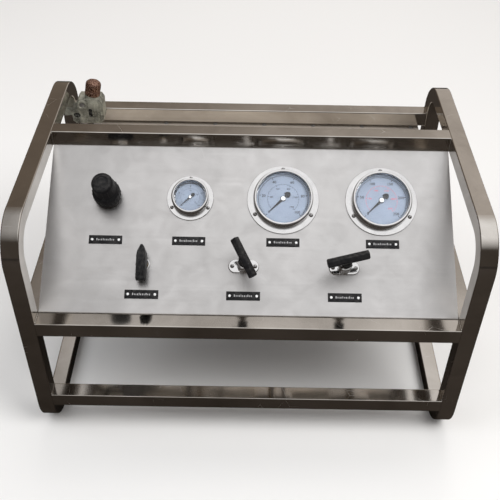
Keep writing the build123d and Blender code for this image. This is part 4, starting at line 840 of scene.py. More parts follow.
@dataclass
class TubeFrame:
    """Bent side loops, cross rails and base of 30 mm square tube."""

    half_width: float = 400.0
    half_depth: float = 270.0
    height: float = 500.0
    tube: float = 30.0
    rail_foots: tuple[float, ...] = (75.0, 270.0)
    top_rail_front: float = 29.0
    rear_rail_top: float = 423.0
    base_rails: tuple[float, ...] = (25.0, 160.0)
    bead: float = 1.9
    bead_waist: float = 0.86
    bead_short: float = 1.5
    bead_point: float = 1.0
    ripples: int = 5

    def dress(self) -> None:
        """Give the tubes their finish, with its lines along each one."""
        dress_nodes(TUBE[GrainRun.ALONG_Y], "side_loop_left", "side_loop_right", "left_mid_rail",
                    "right_mid_rail")
        dress_nodes(TUBE[GrainRun.ALONG_X], "front_bottom_rail", "rear_bottom_rail", "front_mid_rail",
                    "front_top_rail", "rear_top_rail", "base_rails")
        dress_nodes(TANK_SHEET, "base_plate")

    def seam(self, work: Workpiece, at: Sequence[float], along: str) -> None:
        """Lay one ground fillet weld across a tube's width.

        Args:
            work: The workpiece that holds the welds.
            at: Middle of the seam.
            along: Axis that the seam runs along.
        """
        turn = {"X": Matrix.Rotation(QUARTER, 4, "Y"), "Y": Matrix.Rotation(QUARTER, 4, "X"),
                "Z": Matrix.Identity(4)}[along]
        work.stand_on(Matrix.Translation(Vector(at)) @ turn)
        half = self.tube / 2 - self.bead_short
        waves = 2 * self.ripples
        profile = [(0.0, -half)]
        for step in range(waves + 1):
            height = -half + self.bead_point + step * (2 * half - 2 * self.bead_point) / waves
            profile.append((self.bead * (1.0 if step % 2 else self.bead_waist), height))
        profile.append((0.0, half))
        work.turned(profile, steps=10)

    def welds(self) -> None:
        """Build every weld between the rails and the loops."""
        work = Workpiece()
        tube, mid = self.tube, self.tube / 2
        low_rail, mid_rail = self.rail_foots
        front, rear = -self.half_depth + mid, self.half_depth - mid
        for side in (-1, 1):
            x = side * (self.half_width - tube)
            for y, foot in ((front, low_rail), (front, mid_rail), (rear, low_rail),
                            (rear, self.rear_rail_top - tube)):
                for z in (foot, foot + tube):
                    self.seam(work, (x, y, z), "Y")
            for y in (self.top_rail_front, self.top_rail_front + tube):
                self.seam(work, (x, y, self.height - mid), "Z")
            for setback in self.base_rails:
                for y in (setback, setback + tube):
                    self.seam(work, (x, y, mid), "Z")
            for y in (-self.half_depth + tube, self.half_depth - tube):
                for z in (mid_rail, mid_rail + tube):
                    self.seam(work, (side * (self.half_width - mid), y, z), "X")
        work.finish("frame_welds", TUBE[GrainRun.ALONG_X], "frame", smooth=60)

    def build(self) -> None:
        """Dress the tubes and weld them."""
        self.dress()
        self.welds()


@dataclass
class ControlPanelSheet:
    """Brushed panel with its black function plates."""

    upper: tuple[float, ...] = (PANEL.regulator_x, *PANEL.gauges_x)
    lower: tuple[float, ...] = (PANEL.switch_x, *PANEL.valves_x)
    below_upper: float = 82.0
    below_lower: float = 54.0
    plate: Spot = (60.0, 16.0, 1.2)
    stud_inset: float = 6.0
    ink: float = 0.12
    capital: float = 4.0
    small: float = 2.8
    gap: float = 0.9
    stroke: float = 0.7
    dashes: tuple[float, ...] = (2.6, 2.0, 1.2, 2.8, 1.6, 2.2, 3.0, 1.4, 2.4, 1.8, 2.6)

    def spots(self) -> list[Point]:
        """Where the plates are, as x and up-slope."""
        upper, lower = PANEL.upper_row - self.below_upper, PANEL.lower_row - self.below_lower
        return [(x, upper) for x in self.upper] + [(x, lower) for x in self.lower]

    def build(self) -> None:
        """Dress the sheet, and build the plates, their studs and their generic print."""
        dress_nodes(PANEL_SHEET, "control_panel")
        plates, studs, print_ = Workpiece(), Workpiece(), Workpiece()
        width, height, thick = self.plate
        for x, up in self.spots():
            seat = PANEL.seat(x, up)
            plates.stand_on(seat)
            plates.block((width, height, thick), (0, 0, thick / 2))
            for side in (-1, 1):
                studs.stand_on(PANEL.seat(x + side * (width / 2 - self.stud_inset), up, thick))
                studs.turned([(0, 0.9), (1.2, 0.85), (2.0, 0.6), (2.4, 0.0), (0, 0.0)], steps=20)
            print_.stand_on(seat)
            start = -sum(self.dashes) / 2 - self.gap / 2 * len(self.dashes)
            for place, dash in enumerate(self.dashes):
                tall = self.small if place % 4 else self.capital
                rise = (tall - (self.small + self.capital) / 2) / 2
                print_.block((self.stroke * dash, tall, self.ink),
                             (start + dash / 2, rise, thick + self.ink / 4))
                start += dash + self.gap
        plates.soften(0.45, 2)
        plates.finish("function_plates", BLACK_PLATE_AND_SHADE, "frame", ["legend_plates"])
        studs.finish("function_plate_studs", WHITE_CAP, "frame", ["legend_rivets"], smooth=50)
        print_.finish("function_plate_print", WHITE_INK, "frame")


@dataclass(frozen=True)
class GaugeSize:
    """One round pressure gauge: where it is, how big, and what its dial says."""

    name: str
    x: float
    flange_r: float
    can_r: float
    bezel_r: float
    holes_r: float
    screw_r: float
    depth: float
    neck_r: float
    top_value: int
    steps: int
    inner_value: int
    red_inner: bool = False
    up: float = PANEL.upper_row
    print_r: float = 50.5

    @property
    def body(self) -> str:
        """CAD body of its needle."""
        return f"{self.name}_needle"

    @property
    def share(self) -> float:
        """Its size as a share of the gauge that the print's sizes are for."""
        return self.can_r / self.print_r


@dataclass
class PanelGauges:
    """The three liquid-filled gauges: rims, windows, dials, print, needles and screws."""

    gauges: tuple[GaugeSize, ...] = (
        GaugeSize("air", PANEL.gauges_x[0], 43.0, 30.5, 34.0, 38.0, 1.6, 30.0, 6.5, 16, 4, 240),
        GaugeSize("low", PANEL.gauges_x[1], 66.0, 50.5, 54.5, 59.0, 2.0, 38.0, 8.0, 100, 5, 1400),
        GaugeSize("high", PANEL.gauges_x[2], 66.0, 50.5, 54.5, 59.0, 2.0, 38.0, 8.0, 250, 5, 3600, True),
    )
    collar: float = 10.0
    lens_top: float = 13.0
    rim_top: float = 17.0
    dial_top: float = 4.0
    needle_low: float = 5.5
    zero: float = 225.0
    sweep: float = 270.0
    screws: int = 3
    ring_ink: float = 0.06
    mark_ink: float = 0.08
    mark_middle: float = 0.03
    number_middle: float = 0.05
    outer_ring: Point = (45.2, 46.0)
    inner_ring: Point = (28.6, 29.0)
    numbers_r: float = 36.2
    numbers_size: float = 7.4
    inner_numbers_r: float = 21.6
    inner_numbers_size: float = 4.3
    tenths: int = 10

    def rims(self) -> None:
        """Turn the bright bezels, each rolled over its window."""
        work = Workpiece()
        for g in self.gauges:
            work.stand_on(PANEL.seat(g.x, g.up))
            r, b, top = g.can_r, g.bezel_r, self.rim_top
            work.turned([
                (r + 0.3, 2.0), (b - 0.6, 2.0), (b, 2.6), (b, 4.4), (b - 0.5, 5.0), (b - 0.5, 5.8), (b, 6.4),
                (b, top - 3.0), (b - 0.4, top - 1.4), (b - 1.3, top - 0.4), (b - 2.4, top), (r, top),
                (r - 0.8, top - 0.3), (r - 1.4, top - 1.1), (r - 1.5, top - 2.0), (r - 1.5, self.lens_top),
                (r + 0.3, self.lens_top),
            ], steps=96)
        work.finish("gauge_rims", BRIGHT, "frame", ["gauge_bezels"], smooth=28)

    def flanges(self) -> None:
        """Turn the cases, with their pierced front flanges and domed backs."""
        work = Workpiece()
        for g in self.gauges:
            work.stand_on(PANEL.seat(g.x, g.up))
            r, f, back, hole = g.can_r, g.flange_r, -g.depth, g.neck_r + 0.3
            work.turned([
                (hole, back), (r - 6, back), (r - 2, back + 1.2), (r, back + 5), (r, 0.0), (f - 0.4, 0.0),
                (f, 0.4), (f, 1.5), (f - 0.5, 2.0), (r, 2.0), (r, self.collar), (r - 2, self.collar),
                (r - 2, back + 5), (r - 3.4, back + 2), (hole, back + 2),
            ], steps=96)
        work.finish("gauge_flanges", BRIGHT, "frame", ["gauge_cases"], smooth=28)

    def fixings(self) -> None:
        """Make the domed screws, each with dark cross bars at its top: painted shade for its cross recess."""
        heads, recess_shade = Workpiece(), Workpiece()
        for g in self.gauges:
            for spot in range(self.screws):
                turn = radians(90.0 + 360.0 / self.screws * spot)
                x, up = g.x + g.holes_r * cos(turn), g.up + g.holes_r * sin(turn)
                heads.stand_on(PANEL.seat(x, up))
                head = g.screw_r + 1.8
                heads.turned([(0, 4.2), (head * 0.55, 4.0), (head * 0.9, 3.2), (head, 2.2), (head, 2.0),
                              (g.screw_r, 2.0), (g.screw_r, -9.0), (g.screw_r - 0.8, -10.0), (0, -10.0)],
                             steps=20)
                # Dark cross bars of painted shade stand for each head's cross recess.
                recess_shade.stand_on(PANEL.seat(x, up, 0.0, 20.0 + 37.0 * spot))
                recess_shade.cross(1.35 * head, 0.75, 0.5, 4.0)
        heads.finish("gauge_screw_heads", BRIGHT, "frame", ["gauge_screws"], smooth=50)
        recess_shade.finish("gauge_screw_recess_shade", BLACK_PLATE_AND_SHADE, "frame")

    def tick(self, work: Workpiece, angle: float, inner: float, outer: float, width: float) -> None:
        """Print one scale mark.

        Args:
            work: The workpiece that holds the print.
            angle: Where on the dial, in degrees.
            inner: Radius where it starts.
            outer: Radius where it ends.
            width: Its width.
        """
        a, middle = radians(angle), (inner + outer) / 2
        work.block((outer - inner, width, self.mark_ink),
                   (middle * cos(a), middle * sin(a), self.dial_top + self.mark_middle), a)

    def ring(self, work: Workpiece, radii: Point, share: float, steps: int) -> None:
        """Print the arc that a scale's marks stand on.

        Args:
            work: The workpiece that holds the print.
            radii: Its inner and outer radius on a large dial.
            share: The gauge's size as a share of a large one's.
            steps: Number of steps round.
        """
        inner, outer = (radius * share for radius in radii)
        low, high = self.dial_top, self.dial_top + self.ring_ink
        work.turned([(inner, low), (outer, low), (outer, high), (inner, high)], steps,
                    radians(self.sweep), radians(self.zero - self.sweep))

    def marks(self, work: Workpiece, inner_work: Workpiece, g: GaugeSize) -> None:
        """Print both scales' marks, the longer ones where the numbers are.

        Args:
            work: The workpiece that holds the outer scale.
            inner_work: The workpiece that holds the inner scale.
            g: The gauge.
        """
        k, fine = g.share, g.steps * self.tenths
        rim = self.outer_ring[1] * k
        for mark in range(fine + 1):
            angle = self.zero - self.sweep * mark / fine
            long, half = mark % self.tenths == 0, mark % (self.tenths // 2) == 0
            self.tick(work, angle, rim - (4.4 if long else 3.2 if half else 2.2) * k, rim,
                      (1.3 if long else 0.7) * k)
            if mark % 2 == 0:
                self.tick(inner_work, angle, (26.2 if long else 27.2) * k, sum(self.inner_ring) / 2 * k,
                          (1.0 if long else 0.6) * k)

    def numbers(self, work: Workpiece, inner_work: Workpiece, g: GaugeSize) -> None:
        """Print both scales' numbers.

        Args:
            work: The workpiece that holds the outer scale.
            inner_work: The workpiece that holds the inner scale.
            g: The gauge.
        """
        rows = ((work, g.top_value, self.numbers_size, self.numbers_r),
                (inner_work, g.inner_value, self.inner_numbers_size, self.inner_numbers_r))
        for mark in range(g.steps + 1):
            angle = radians(self.zero - self.sweep * mark / g.steps)
            for ink, top_value, size, radius in rows:
                reach = radius * g.share
                ink.numeral(str(top_value * mark // g.steps), size * g.share,
                            (reach * cos(angle), reach * sin(angle), self.dial_top + self.number_middle))

    def dial_print(self) -> None:
        """Print the scales and their numbers on the dials."""
        black, red = Workpiece(), Workpiece()
        dress_nodes(DIAL, "gauge_dials")
        for g in self.gauges:
            inner = red if g.red_inner else black
            for work in (black, red):
                work.stand_on(PANEL.seat(g.x, g.up))
            self.ring(black, self.outer_ring, g.share, 72)
            self.ring(inner, self.inner_ring, g.share, 60)
            self.marks(black, inner, g)
            self.numbers(black, inner, g)
        black.finish("dial_scales", BLACK_INK, "frame")
        red.finish("dial_red_scale", RED_INK, "frame")

    def needles(self) -> None:
        """Cut each needle with its broad tail, and cap its hub."""
        for g in self.gauges:
            k = g.can_r
            pointer = Workpiece(PANEL.seat(g.x, g.up, 0.0, self.zero))
            low = self.needle_low
            pointer.plate([(-0.05 * k, 0.055 * k), (0.06 * k, 0.05 * k), (0.72 * k, 0.008 * k),
                           (0.72 * k, -0.008 * k), (0.06 * k, -0.05 * k), (-0.05 * k, -0.055 * k),
                           (-0.14 * k, -0.045 * k), (-0.17 * k, -0.12 * k), (-0.27 * k, -0.1 * k),
                           (-0.34 * k, -0.03 * k), (-0.34 * k, 0.03 * k), (-0.27 * k, 0.1 * k),
                           (-0.17 * k, 0.12 * k), (-0.14 * k, 0.045 * k)], low, low + 0.8)
            pointer.turned([(0, -11.0), (1.5, -11.0), (1.5, low), (0.1 * k, low), (0.1 * k, low + 1.2),
                            (0, low + 1.2)], steps=32)
            pointer.finish(f"{g.name}_needle_blade", NEEDLE_PAINT, g.body, [f"{g.name}_gauge_needle"])
            hub = Workpiece(PANEL.seat(g.x, g.up))
            hub.turned([(0, low + 2.6), (0.05 * k, low + 2.5), (0.078 * k, low + 2.1), (0.082 * k, low + 1.2),
                        (0, low + 1.2)], steps=32)
            hub.finish(f"{g.name}_needle_cap", WHITE_CAP, g.body, smooth=50)

    def build(self) -> None:
        """Build and dress everything on the gauges."""
        self.rims()
        self.flanges()
        self.fixings()
        self.dial_print()
        self.needles()
        dress_nodes(LENS, "gauge_lenses")
        dress_nodes(BRASS, "gauge_movements")


@dataclass
class AirRegulator:
    """Black ribbed knob over an eight-sided panel nut."""

    x: float = PANEL.regulator_x
    up: float = PANEL.upper_row
    skirt_r: float = 25.0
    cap_r: float = 19.5
    foot: float = 9.0
    top: float = 74.0
    ribs: int = 24

    def knob(self) -> None:
        """Turn the knob's skirt and cap, and set grip ribs round both."""
        work = Workpiece(PANEL.seat(self.x, self.up))
        s, c, f, t = self.skirt_r - 0.8, self.cap_r, self.foot, self.top
        work.turned([
            (16.5, f), (s - 1.0, f), (s, f + 1.0), (s, f + 22), (s - 0.6, f + 24.5), (s - 2.2, f + 26.5),
            (c + 2.2, f + 28.5), (c + 0.6, f + 30.2), (c, f + 32.0), (c - 0.2, t - 6.0), (c - 1.0, t - 3.0),
            (c - 3.2, t - 0.8), (c - 6.0, t - 0.2), (c - 8.0, t), (c - 8.8, t - 0.9), (0, t - 1.2),
            (0, t - 12.0), (5.0, t - 12.0), (5.0, 16.0), (16.5, 16.0),
        ], steps=96)
        for rib in range(self.ribs):
            a = 2 * pi * rib / self.ribs
            verts = work.prism(1.15, f + 2.0, f + 23.0, 8, (s * cos(a), s * sin(a)), a, tip=0.9)
            work.soften(0.3, 1, 60, verts)
            if rib % 2 == 0:
                work.prism(0.8, f + 34.0, t - 8.0, 8, ((c - 0.2) * cos(a), (c - 0.2) * sin(a)), a, tip=0.6)
        work.finish("regulator_grip", PLASTIC, "regulator_control", ["regulator_knob"], smooth=35)

    def build(self) -> None:
        """Build the knob and dress the hidden valve behind the panel."""
        self.knob()
        dress_nodes(ALLOY, "regulator_body")
        dress_nodes(MACHINED, "regulator_spindle")


@dataclass
class PanelNuts:
    """The nuts that hold the regulator and the switch in the panel."""

    regulator: Point = (PANEL.regulator_x, PANEL.upper_row)
    switch: Point = (PANEL.switch_x, PANEL.lower_row)
    bevel: float = 1.2

    def build(self) -> None:
        """Cut both nuts, bevelled on top and bored for their necks."""
        work = Workpiece()
        for (x, up), radius, bore, height, sides in (
                (self.regulator, 21.0, 15.3, 8.0, 8), (self.switch, 14.0, 9.3, 6.0, 6)):
            work.stand_on(PANEL.seat(x, up))
            before, flat = set(work.mesh.verts), radius * cos(pi / sides)
            work.turned([(bore, 0.0), (flat, 0.0), (flat, height), (bore, height)], steps=sides * 4)
            back = work.seat.inverted()
            for vert in set(work.mesh.verts) - before:
                spot = back @ vert.co
                reach = hypot(spot.x, spot.y)
                if reach > (bore + flat) / 2:
                    a = atan2(spot.y, spot.x) % (2 * pi / sides) - pi / sides
                    cut = self.bevel if spot.z > height / 2 else 0.0
                    grow = min(flat / cos(a), radius - cut) / reach
                    vert.co = work.seat @ Vector((spot.x * grow, spot.y * grow, spot.z))
        work.soften(0.4, 2, 40)
        work.finish("panel_lock_nuts", BRIGHT, "frame", ["panel_nuts"], smooth=25)


@dataclass
class DriveSwitch:
    """Black lever of the air drive's ball valve."""

    x: float = PANEL.switch_x
    up: float = PANEL.lower_row
    tail: float = 34.0
    tip: float = 30.0
    width: float = 20.0
    foot: float = 10.0
    underside: float = 18.0
    shoulder: float = 30.0
    top: float = 36.0
    droop: float = 5.0
    pinch: float = 0.8

    def lever(self) -> None:
        """Cut the lever, pinched at its tip and hollowed on its flanks."""
        work = Workpiece(PANEL.seat(self.x, self.up))
        w = self.width / 2
        work.plate([(-w + 2, -self.tail), (w - 2, -self.tail), (w, -self.tail + 4), (w, 8), (w - 1.2, 16),
                    (3.0, self.tip - 1.0), (1.5, self.tip), (-1.5, self.tip), (-3.0, self.tip - 1.0),
                    (-w + 1.2, 16), (-w, 8), (-w, -self.tail + 4)], self.underside, self.top)
        back = work.seat.inverted()
        for vert in work.mesh.verts:
            spot = back @ vert.co
            if spot.z > self.shoulder:
                ends = max(0.0, abs(spot.y + 2.0) - 18.0) / 14.0
                spot.z -= self.droop * ends
                spot.x *= self.pinch
            vert.co = work.seat @ spot
        work.soften(1.6, 3, 30)
        hub = work.prism(10.0, self.foot, 21.0, 32)
        work.soften(0.8, 2, 60, hub)
        for side in (-1, 1):
            rib = work.block((2.0, 26.0, 1.6), (side * 3.2, -14.0, self.top - 0.5))
            work.soften(0.7, 2, 60, rib)
        work.finish("switch_lever", PLASTIC, "drive_switch", ["switch_handle"], smooth=40)

    def build(self) -> None:
        """Build the lever and dress the ball valve."""
        self.lever()
        dress_nodes(BRASS, "switch_valve_body")
        dress_nodes(BRIGHT, "switch_ball_stem")


@dataclass
class NeedleValve:
    """Needle valve with a black hexagonal tommy bar."""

    name: str
    x: float
    angle: float
    up: float = PANEL.lower_row
    bar_length: float = 74.0
    bar_flats: float = 15.0
    bar_height: float = 61.0
    gland_top: float = 24.0
    stem_r: float = 5.0
    stem_foot: float = -35.5

    def bar(self) -> None:
        """Make the bar and its hub."""
        seat = PANEL.seat(self.x, self.up, 0.0, self.angle)
        lying = Matrix.Translation((0, 0, self.bar_height)) @ Matrix.Rotation(QUARTER, 4, "Y")
        work = Workpiece(seat @ lying)
        half = self.bar_length / 2
        corner = self.bar_flats / 2 / cos(pi / 6)
        bar = work.prism(corner, -half, half, 6, turn=pi / 6)
        work.soften(1.3, 3, 30, bar)
        work.stand_on(seat)
        r, foot, top = self.stem_r, self.gland_top + 8, self.bar_height - 2
        work.turned([(r, foot), (8.6, foot), (9.6, foot + 1), (9.6, foot + 4), (8.8, foot + 5),
                     (8.8, top - 6), (7.0, top - 2), (r, top)], steps=40)
        work.finish(f"{self.name}_tommy_bar", PLASTIC, f"{self.name}_control", [f"{self.name}_handle"],
                    smooth=30)

    def stem(self) -> None:
        """Turn the bright stem with its grooves."""
        work = Workpiece(PANEL.seat(self.x, self.up))
        r, low, neck, top = self.stem_r, self.stem_foot, self.gland_top, self.bar_height - 2
        work.turned([(0, low), (2.0, low), (r, low + 7.5), (r, neck - 1), (r - 0.5, neck),
                     (r - 0.5, neck + 1.2), (r, neck + 2), (r, neck + 4), (r - 0.5, neck + 4.6),
                     (r - 0.5, neck + 5.4), (r, neck + 6), (r, top), (0, top)], steps=32)
        work.finish(f"{self.name}_bright_stem", BRIGHT, f"{self.name}_control", [f"{self.name}_stem"],
                    smooth=30)

    def build(self) -> None:
        """Build what turns on this valve."""
        self.bar()
        self.stem()


@dataclass
class ValveMounts:
    """Oval plates, nuts and screws that hold both needle valves in the panel."""

    valves: tuple[NeedleValve, ...]
    flats: float = 22.0
    oval: Point = (27.5, 12.4)
    end_points: int = 17
    plate_top: float = 2.5
    lock_nut_top: float = 8.0
    nut_foot: float = 8.6
    screws_apart: float = 41.0

    def ovals(self) -> None:
        """Press the oval plates, with rolled edges."""
        work = Workpiece()
        reach, radius = self.oval
        for valve in self.valves:
            work.stand_on(PANEL.seat(valve.x, valve.up))
            rim = []
            for side in (1, -1):
                for step in range(self.end_points):
                    a = pi * step / (self.end_points - 0.5) - side * QUARTER
                    rim.append((side * (reach - radius) + radius * cos(a), radius * sin(a)))
            verts = work.plate(rim, 0.0, self.plate_top)
            work.soften(1.5, 4, 40, verts)
        work.finish("oval_plates", BRIGHT, "frame", ["valve_plates"], smooth=40)

    def glands(self) -> None:
        """Cut the gland nuts with bevelled corners, and a thin lock nut under each."""
        work = Workpiece()
        corner = self.flats / 2 / cos(pi / 6)
        for valve in self.valves:
            work.stand_on(PANEL.seat(valve.x, valve.up, 0.0, 11.0))
            top = valve.gland_top
            for low, high, turn in ((self.plate_top, self.lock_nut_top, 0.0), (self.nut_foot, top, 0.35)):
                verts = work.prism(corner, low, high, 6, turn=turn)
                work.soften(1.0, 2, 30, verts)
            low, high, waist = self.lock_nut_top - 0.2, self.nut_foot + 0.2, corner - 3.2
            work.turned([(6.0, low), (waist, low), (waist, high), (6.0, high)], steps=32)
            work.turned([(5.3, top - 1), (8.0, top - 1), (7.6, top + 1.6), (6.8, top + 2.2),
                         (5.3, top + 2.2)], steps=32)
        work.finish("gland_nuts", BRIGHT, "frame", ["valve_gland_nuts"], smooth=30)

    def screws(self) -> None:
        """Turn the screws of the oval plates, each with dark cross bars of painted shade for its cross
        recess.
        """
        work, recess_shade = Workpiece(), Workpiece()
        for valve in self.valves:
            for side in (-1, 1):
                x = valve.x + side * self.screws_apart / 2
                work.stand_on(PANEL.seat(x, valve.up))
                work.turned([(0, 4.7), (2.0, 4.5), (3.3, 3.7), (3.8, 2.6), (3.8, 2.5), (2.0, 2.5),
                             (2.0, -8.5), (1.2, -9.5), (0, -9.5)], steps=20)
                # Dark cross bars of painted shade stand for each head's cross recess.
                recess_shade.stand_on(PANEL.seat(x, valve.up, 0.0, 30.0 * side))
                recess_shade.cross(4.6, 0.8, 0.5, 4.5)
        work.finish("oval_plate_screws", BRIGHT, "frame", ["valve_plate_screws"], smooth=50)
        recess_shade.finish("oval_plate_screw_recess_shade", BLACK_PLATE_AND_SHADE, "frame")

    def build(self) -> None:
        """Build the plates, glands and screws, and dress the valve bodies."""
        self.ovals()
        self.glands()
        self.screws()
        dress_nodes(MACHINED, "needle_valve_bodies")


@dataclass
class AirInlet:
    """Cast air inlet on the rear rail with its leaning silencer."""

    front: float = 204.0
    hub: Point = (-348.0, 454.0)
    oval_pocket: Point = (-362.0, 427.0)
    oval_reach: Point = (7.4, 5.9)
    long_pocket: Point = (-333.5, 432.5)
    # Size of the near-black block of painted shade in the long pocket.
    pocket_shade_block: Spot = (7.8, 19.8, 7.4)
    silencer_foot: Spot = (-328.23, 221.0, 468.31)
    lean: float = 12.0
    silencer_r: float = 15.5
    silencer_l: float = 31.0
    ribs: tuple[float, ...] = (-324.5, -318.0, -311.5)
    rib_ends: Point = (414.0, 456.0)

    def facing(self, x: float, z: float) -> Matrix:
        """Seat on the casting's front face, with Z out of it."""
        return Matrix.Translation((x, self.front, z)) @ Matrix.Rotation(QUARTER, 4, "X")

    def leaning(self) -> Matrix:
        """Seat of the silencer, with Z along it."""
        return Matrix.Translation(self.silencer_foot) @ Matrix.Rotation(radians(self.lean), 4, "Y")

    def details(self) -> None:
        """Add the cover's ring and rivets, the ribs, and the collar rings under the silencer."""
        work = Workpiece(self.facing(*self.hub))
        work.turned([(5.2, 4.6), (10.4, 4.6), (10.2, 5.6), (9.2, 6.2), (6.8, 6.2), (5.8, 5.6)], steps=40)
        for spot in range(4):
            a = pi / 4 + spot * QUARTER
            work.prism(1.2, 5.8, 7.2, 10, (8.0 * cos(a), 8.0 * sin(a)), tip=0.9)
        for x in self.ribs:
            work.stand_on(Matrix.Translation((x, self.front + 0.4, 0)))
            verts = work.prism(2.1, *self.rib_ends, 10, tip=1.7)
            work.soften(0.5, 1, 50, verts)
        work.stand_on(self.leaning())
        r = self.silencer_r
        for low in (-5.4, -3.2):
            work.turned([(r - 1.1, low), (r - 0.2, low + 0.3), (r - 0.2, low + 1.3), (r - 1.1, low + 1.6)],
                        steps=48)
        work.finish("casting_details", CASTING, "frame", smooth=40)

    def cover(self) -> None:
        """Set the screw in the middle of the round cover."""
        plug = Workpiece(self.facing(*self.hub))
        verts = plug.prism(4.8, 2.6, 5.2, 24)
        plug.soften(0.5, 2, 50, verts)
        plug.cross(6.6, 1.4, 0.7, 5.3, turn=0.3)
        plug.finish("cover_screw", MACHINED, "frame")

    def pockets(self) -> None:
        """Fill the bottoms of the two cored pockets with near-black plugs: painted shade where the recesses
        fall dark.
        """
        work = Workpiece(self.facing(*self.oval_pocket) @ Matrix.Diagonal((*self.oval_reach, 1.0, 1.0)))
        # Both near-black plugs below are painted shade in the pocket bottoms, not a coating of the casting.
        work.prism(1.0, -9.9, -2.4, 32)
        work.stand_on(self.facing(*self.long_pocket))
        verts = work.block(self.pocket_shade_block, (0, 0, -6.2))
        work.soften(1.6, 3, 60, verts)
        work.finish("casting_pocket_painted_shade", POCKET_SHADE, "frame", smooth=50)

    def silencer(self) -> None:
        """Turn the round-ended silencer with its groove."""
        work = Workpiece(self.leaning())
        r, length = self.silencer_r, self.silencer_l
        work.turned([
            (0, 0), (r - 0.6, 0), (r, 0.6), (r, 8.6), (r - 0.6, 9.6), (r - 1.8, 10.2), (r - 1.8, 12.0),
            (r - 0.6, 12.6), (r, 13.6), (r, length - 8.4), (r - 0.6, length - 5.6), (r - 2.6, length - 3.2),
            (r - 6.0, length - 1.3), (r - 10.0, length - 0.3), (0, length),
        ], steps=48)
        work.finish("silencer_body", BRONZE, "frame", ["exhaust_silencer"], smooth=40)

    def build(self) -> None:
        """Dress the casting and add its details, cover screw and silencer."""
        dress_nodes(CASTING, "inlet_manifold")
        self.details()
        self.cover()
        self.pockets()
        self.silencer()


@dataclass
class Tank:
    """Sheet tank under the rear rail, with its lid, screws and filler."""

    left: float = -195.0
    right: float = 355.0
    front: float = 97.0
    rear: float = 251.0
    floor: float = 105.0
    lid_top: float = 385.0
    screws_per_side: int = 6
    screw_inset: Point = (12.0, 5.0)
    seam_inset: float = 0.8
    cap: Point = (250.0, 140.0)
    cap_r: float = 27.2
    cap_ribs: int = 30

    def lid_screws(self) -> None:
        """Turn the lid's screws along its long edges."""
        work = Workpiece()
        in_x, in_y = self.screw_inset
        pitch = (self.right - self.left - 2 * in_x) / (self.screws_per_side - 1)
        for place in range(self.screws_per_side):
            x = self.left + in_x + pitch * place
            for y in (self.front + in_y, self.rear - in_y):
                work.stand_on(Matrix.Translation((x, y, self.lid_top)))
                verts = work.prism(3.6, 0.0, 2.4, 6)
                work.soften(0.4, 1, 40, verts)
                work.turned([(0, 0.0), (5.0, 0.0), (5.0, 0.7), (0, 0.7)], steps=20)
        work.finish("tank_lid_screws", MACHINED, "frame")

    def corner_welds(self) -> None:
        """Lay the ground seams down the tank's corners."""
        work = Workpiece()
        for x in (self.left + self.seam_inset, self.right - self.seam_inset):
            for y in (self.front + self.seam_inset, self.rear - self.seam_inset):
                work.stand_on(Matrix.Translation((x, y, 0)))
                verts = work.prism(1.7, self.floor + 1, self.lid_top - 3, 10)
                work.soften(0.5, 1, 50, verts)
        work.finish("tank_corner_seams", TANK_SHEET, "frame", smooth=60)

    def filler(self) -> None:
        """Turn the ribbed black cap."""
        x, y = self.cap
        work = Workpiece(Matrix.Translation((x, y, self.lid_top)))
        r, reach = self.cap_r, self.cap_r - 0.1
        work.turned([(r - 2.9, 3.0), (r, 3.0), (r, 20.0), (r - 0.8, 22.8), (r - 3.2, 24.6), (14.0, 25.0),
                     (12.6, 24.2), (0, 24.0), (0, 20.2), (r - 2.9, 20.2)], steps=72)
        for rib in range(self.cap_ribs):
            a = 2 * pi * rib / self.cap_ribs
            work.prism(1.0, 4.5, 19.0, 8, (reach * cos(a), reach * sin(a)), a, tip=0.7)
        work.finish("filler_cap_grip", PLASTIC, "tank_cap", ["filler_cap"], smooth=35)

    def build(self) -> None:
        """Dress the tank and add its fittings."""
        dress_nodes(TANK_SHEET, "tank_shell", "tank_supports")
        dress_nodes(LID_SHEET, "tank_lid")
        self.lid_screws()
        self.corner_welds()
        self.filler()


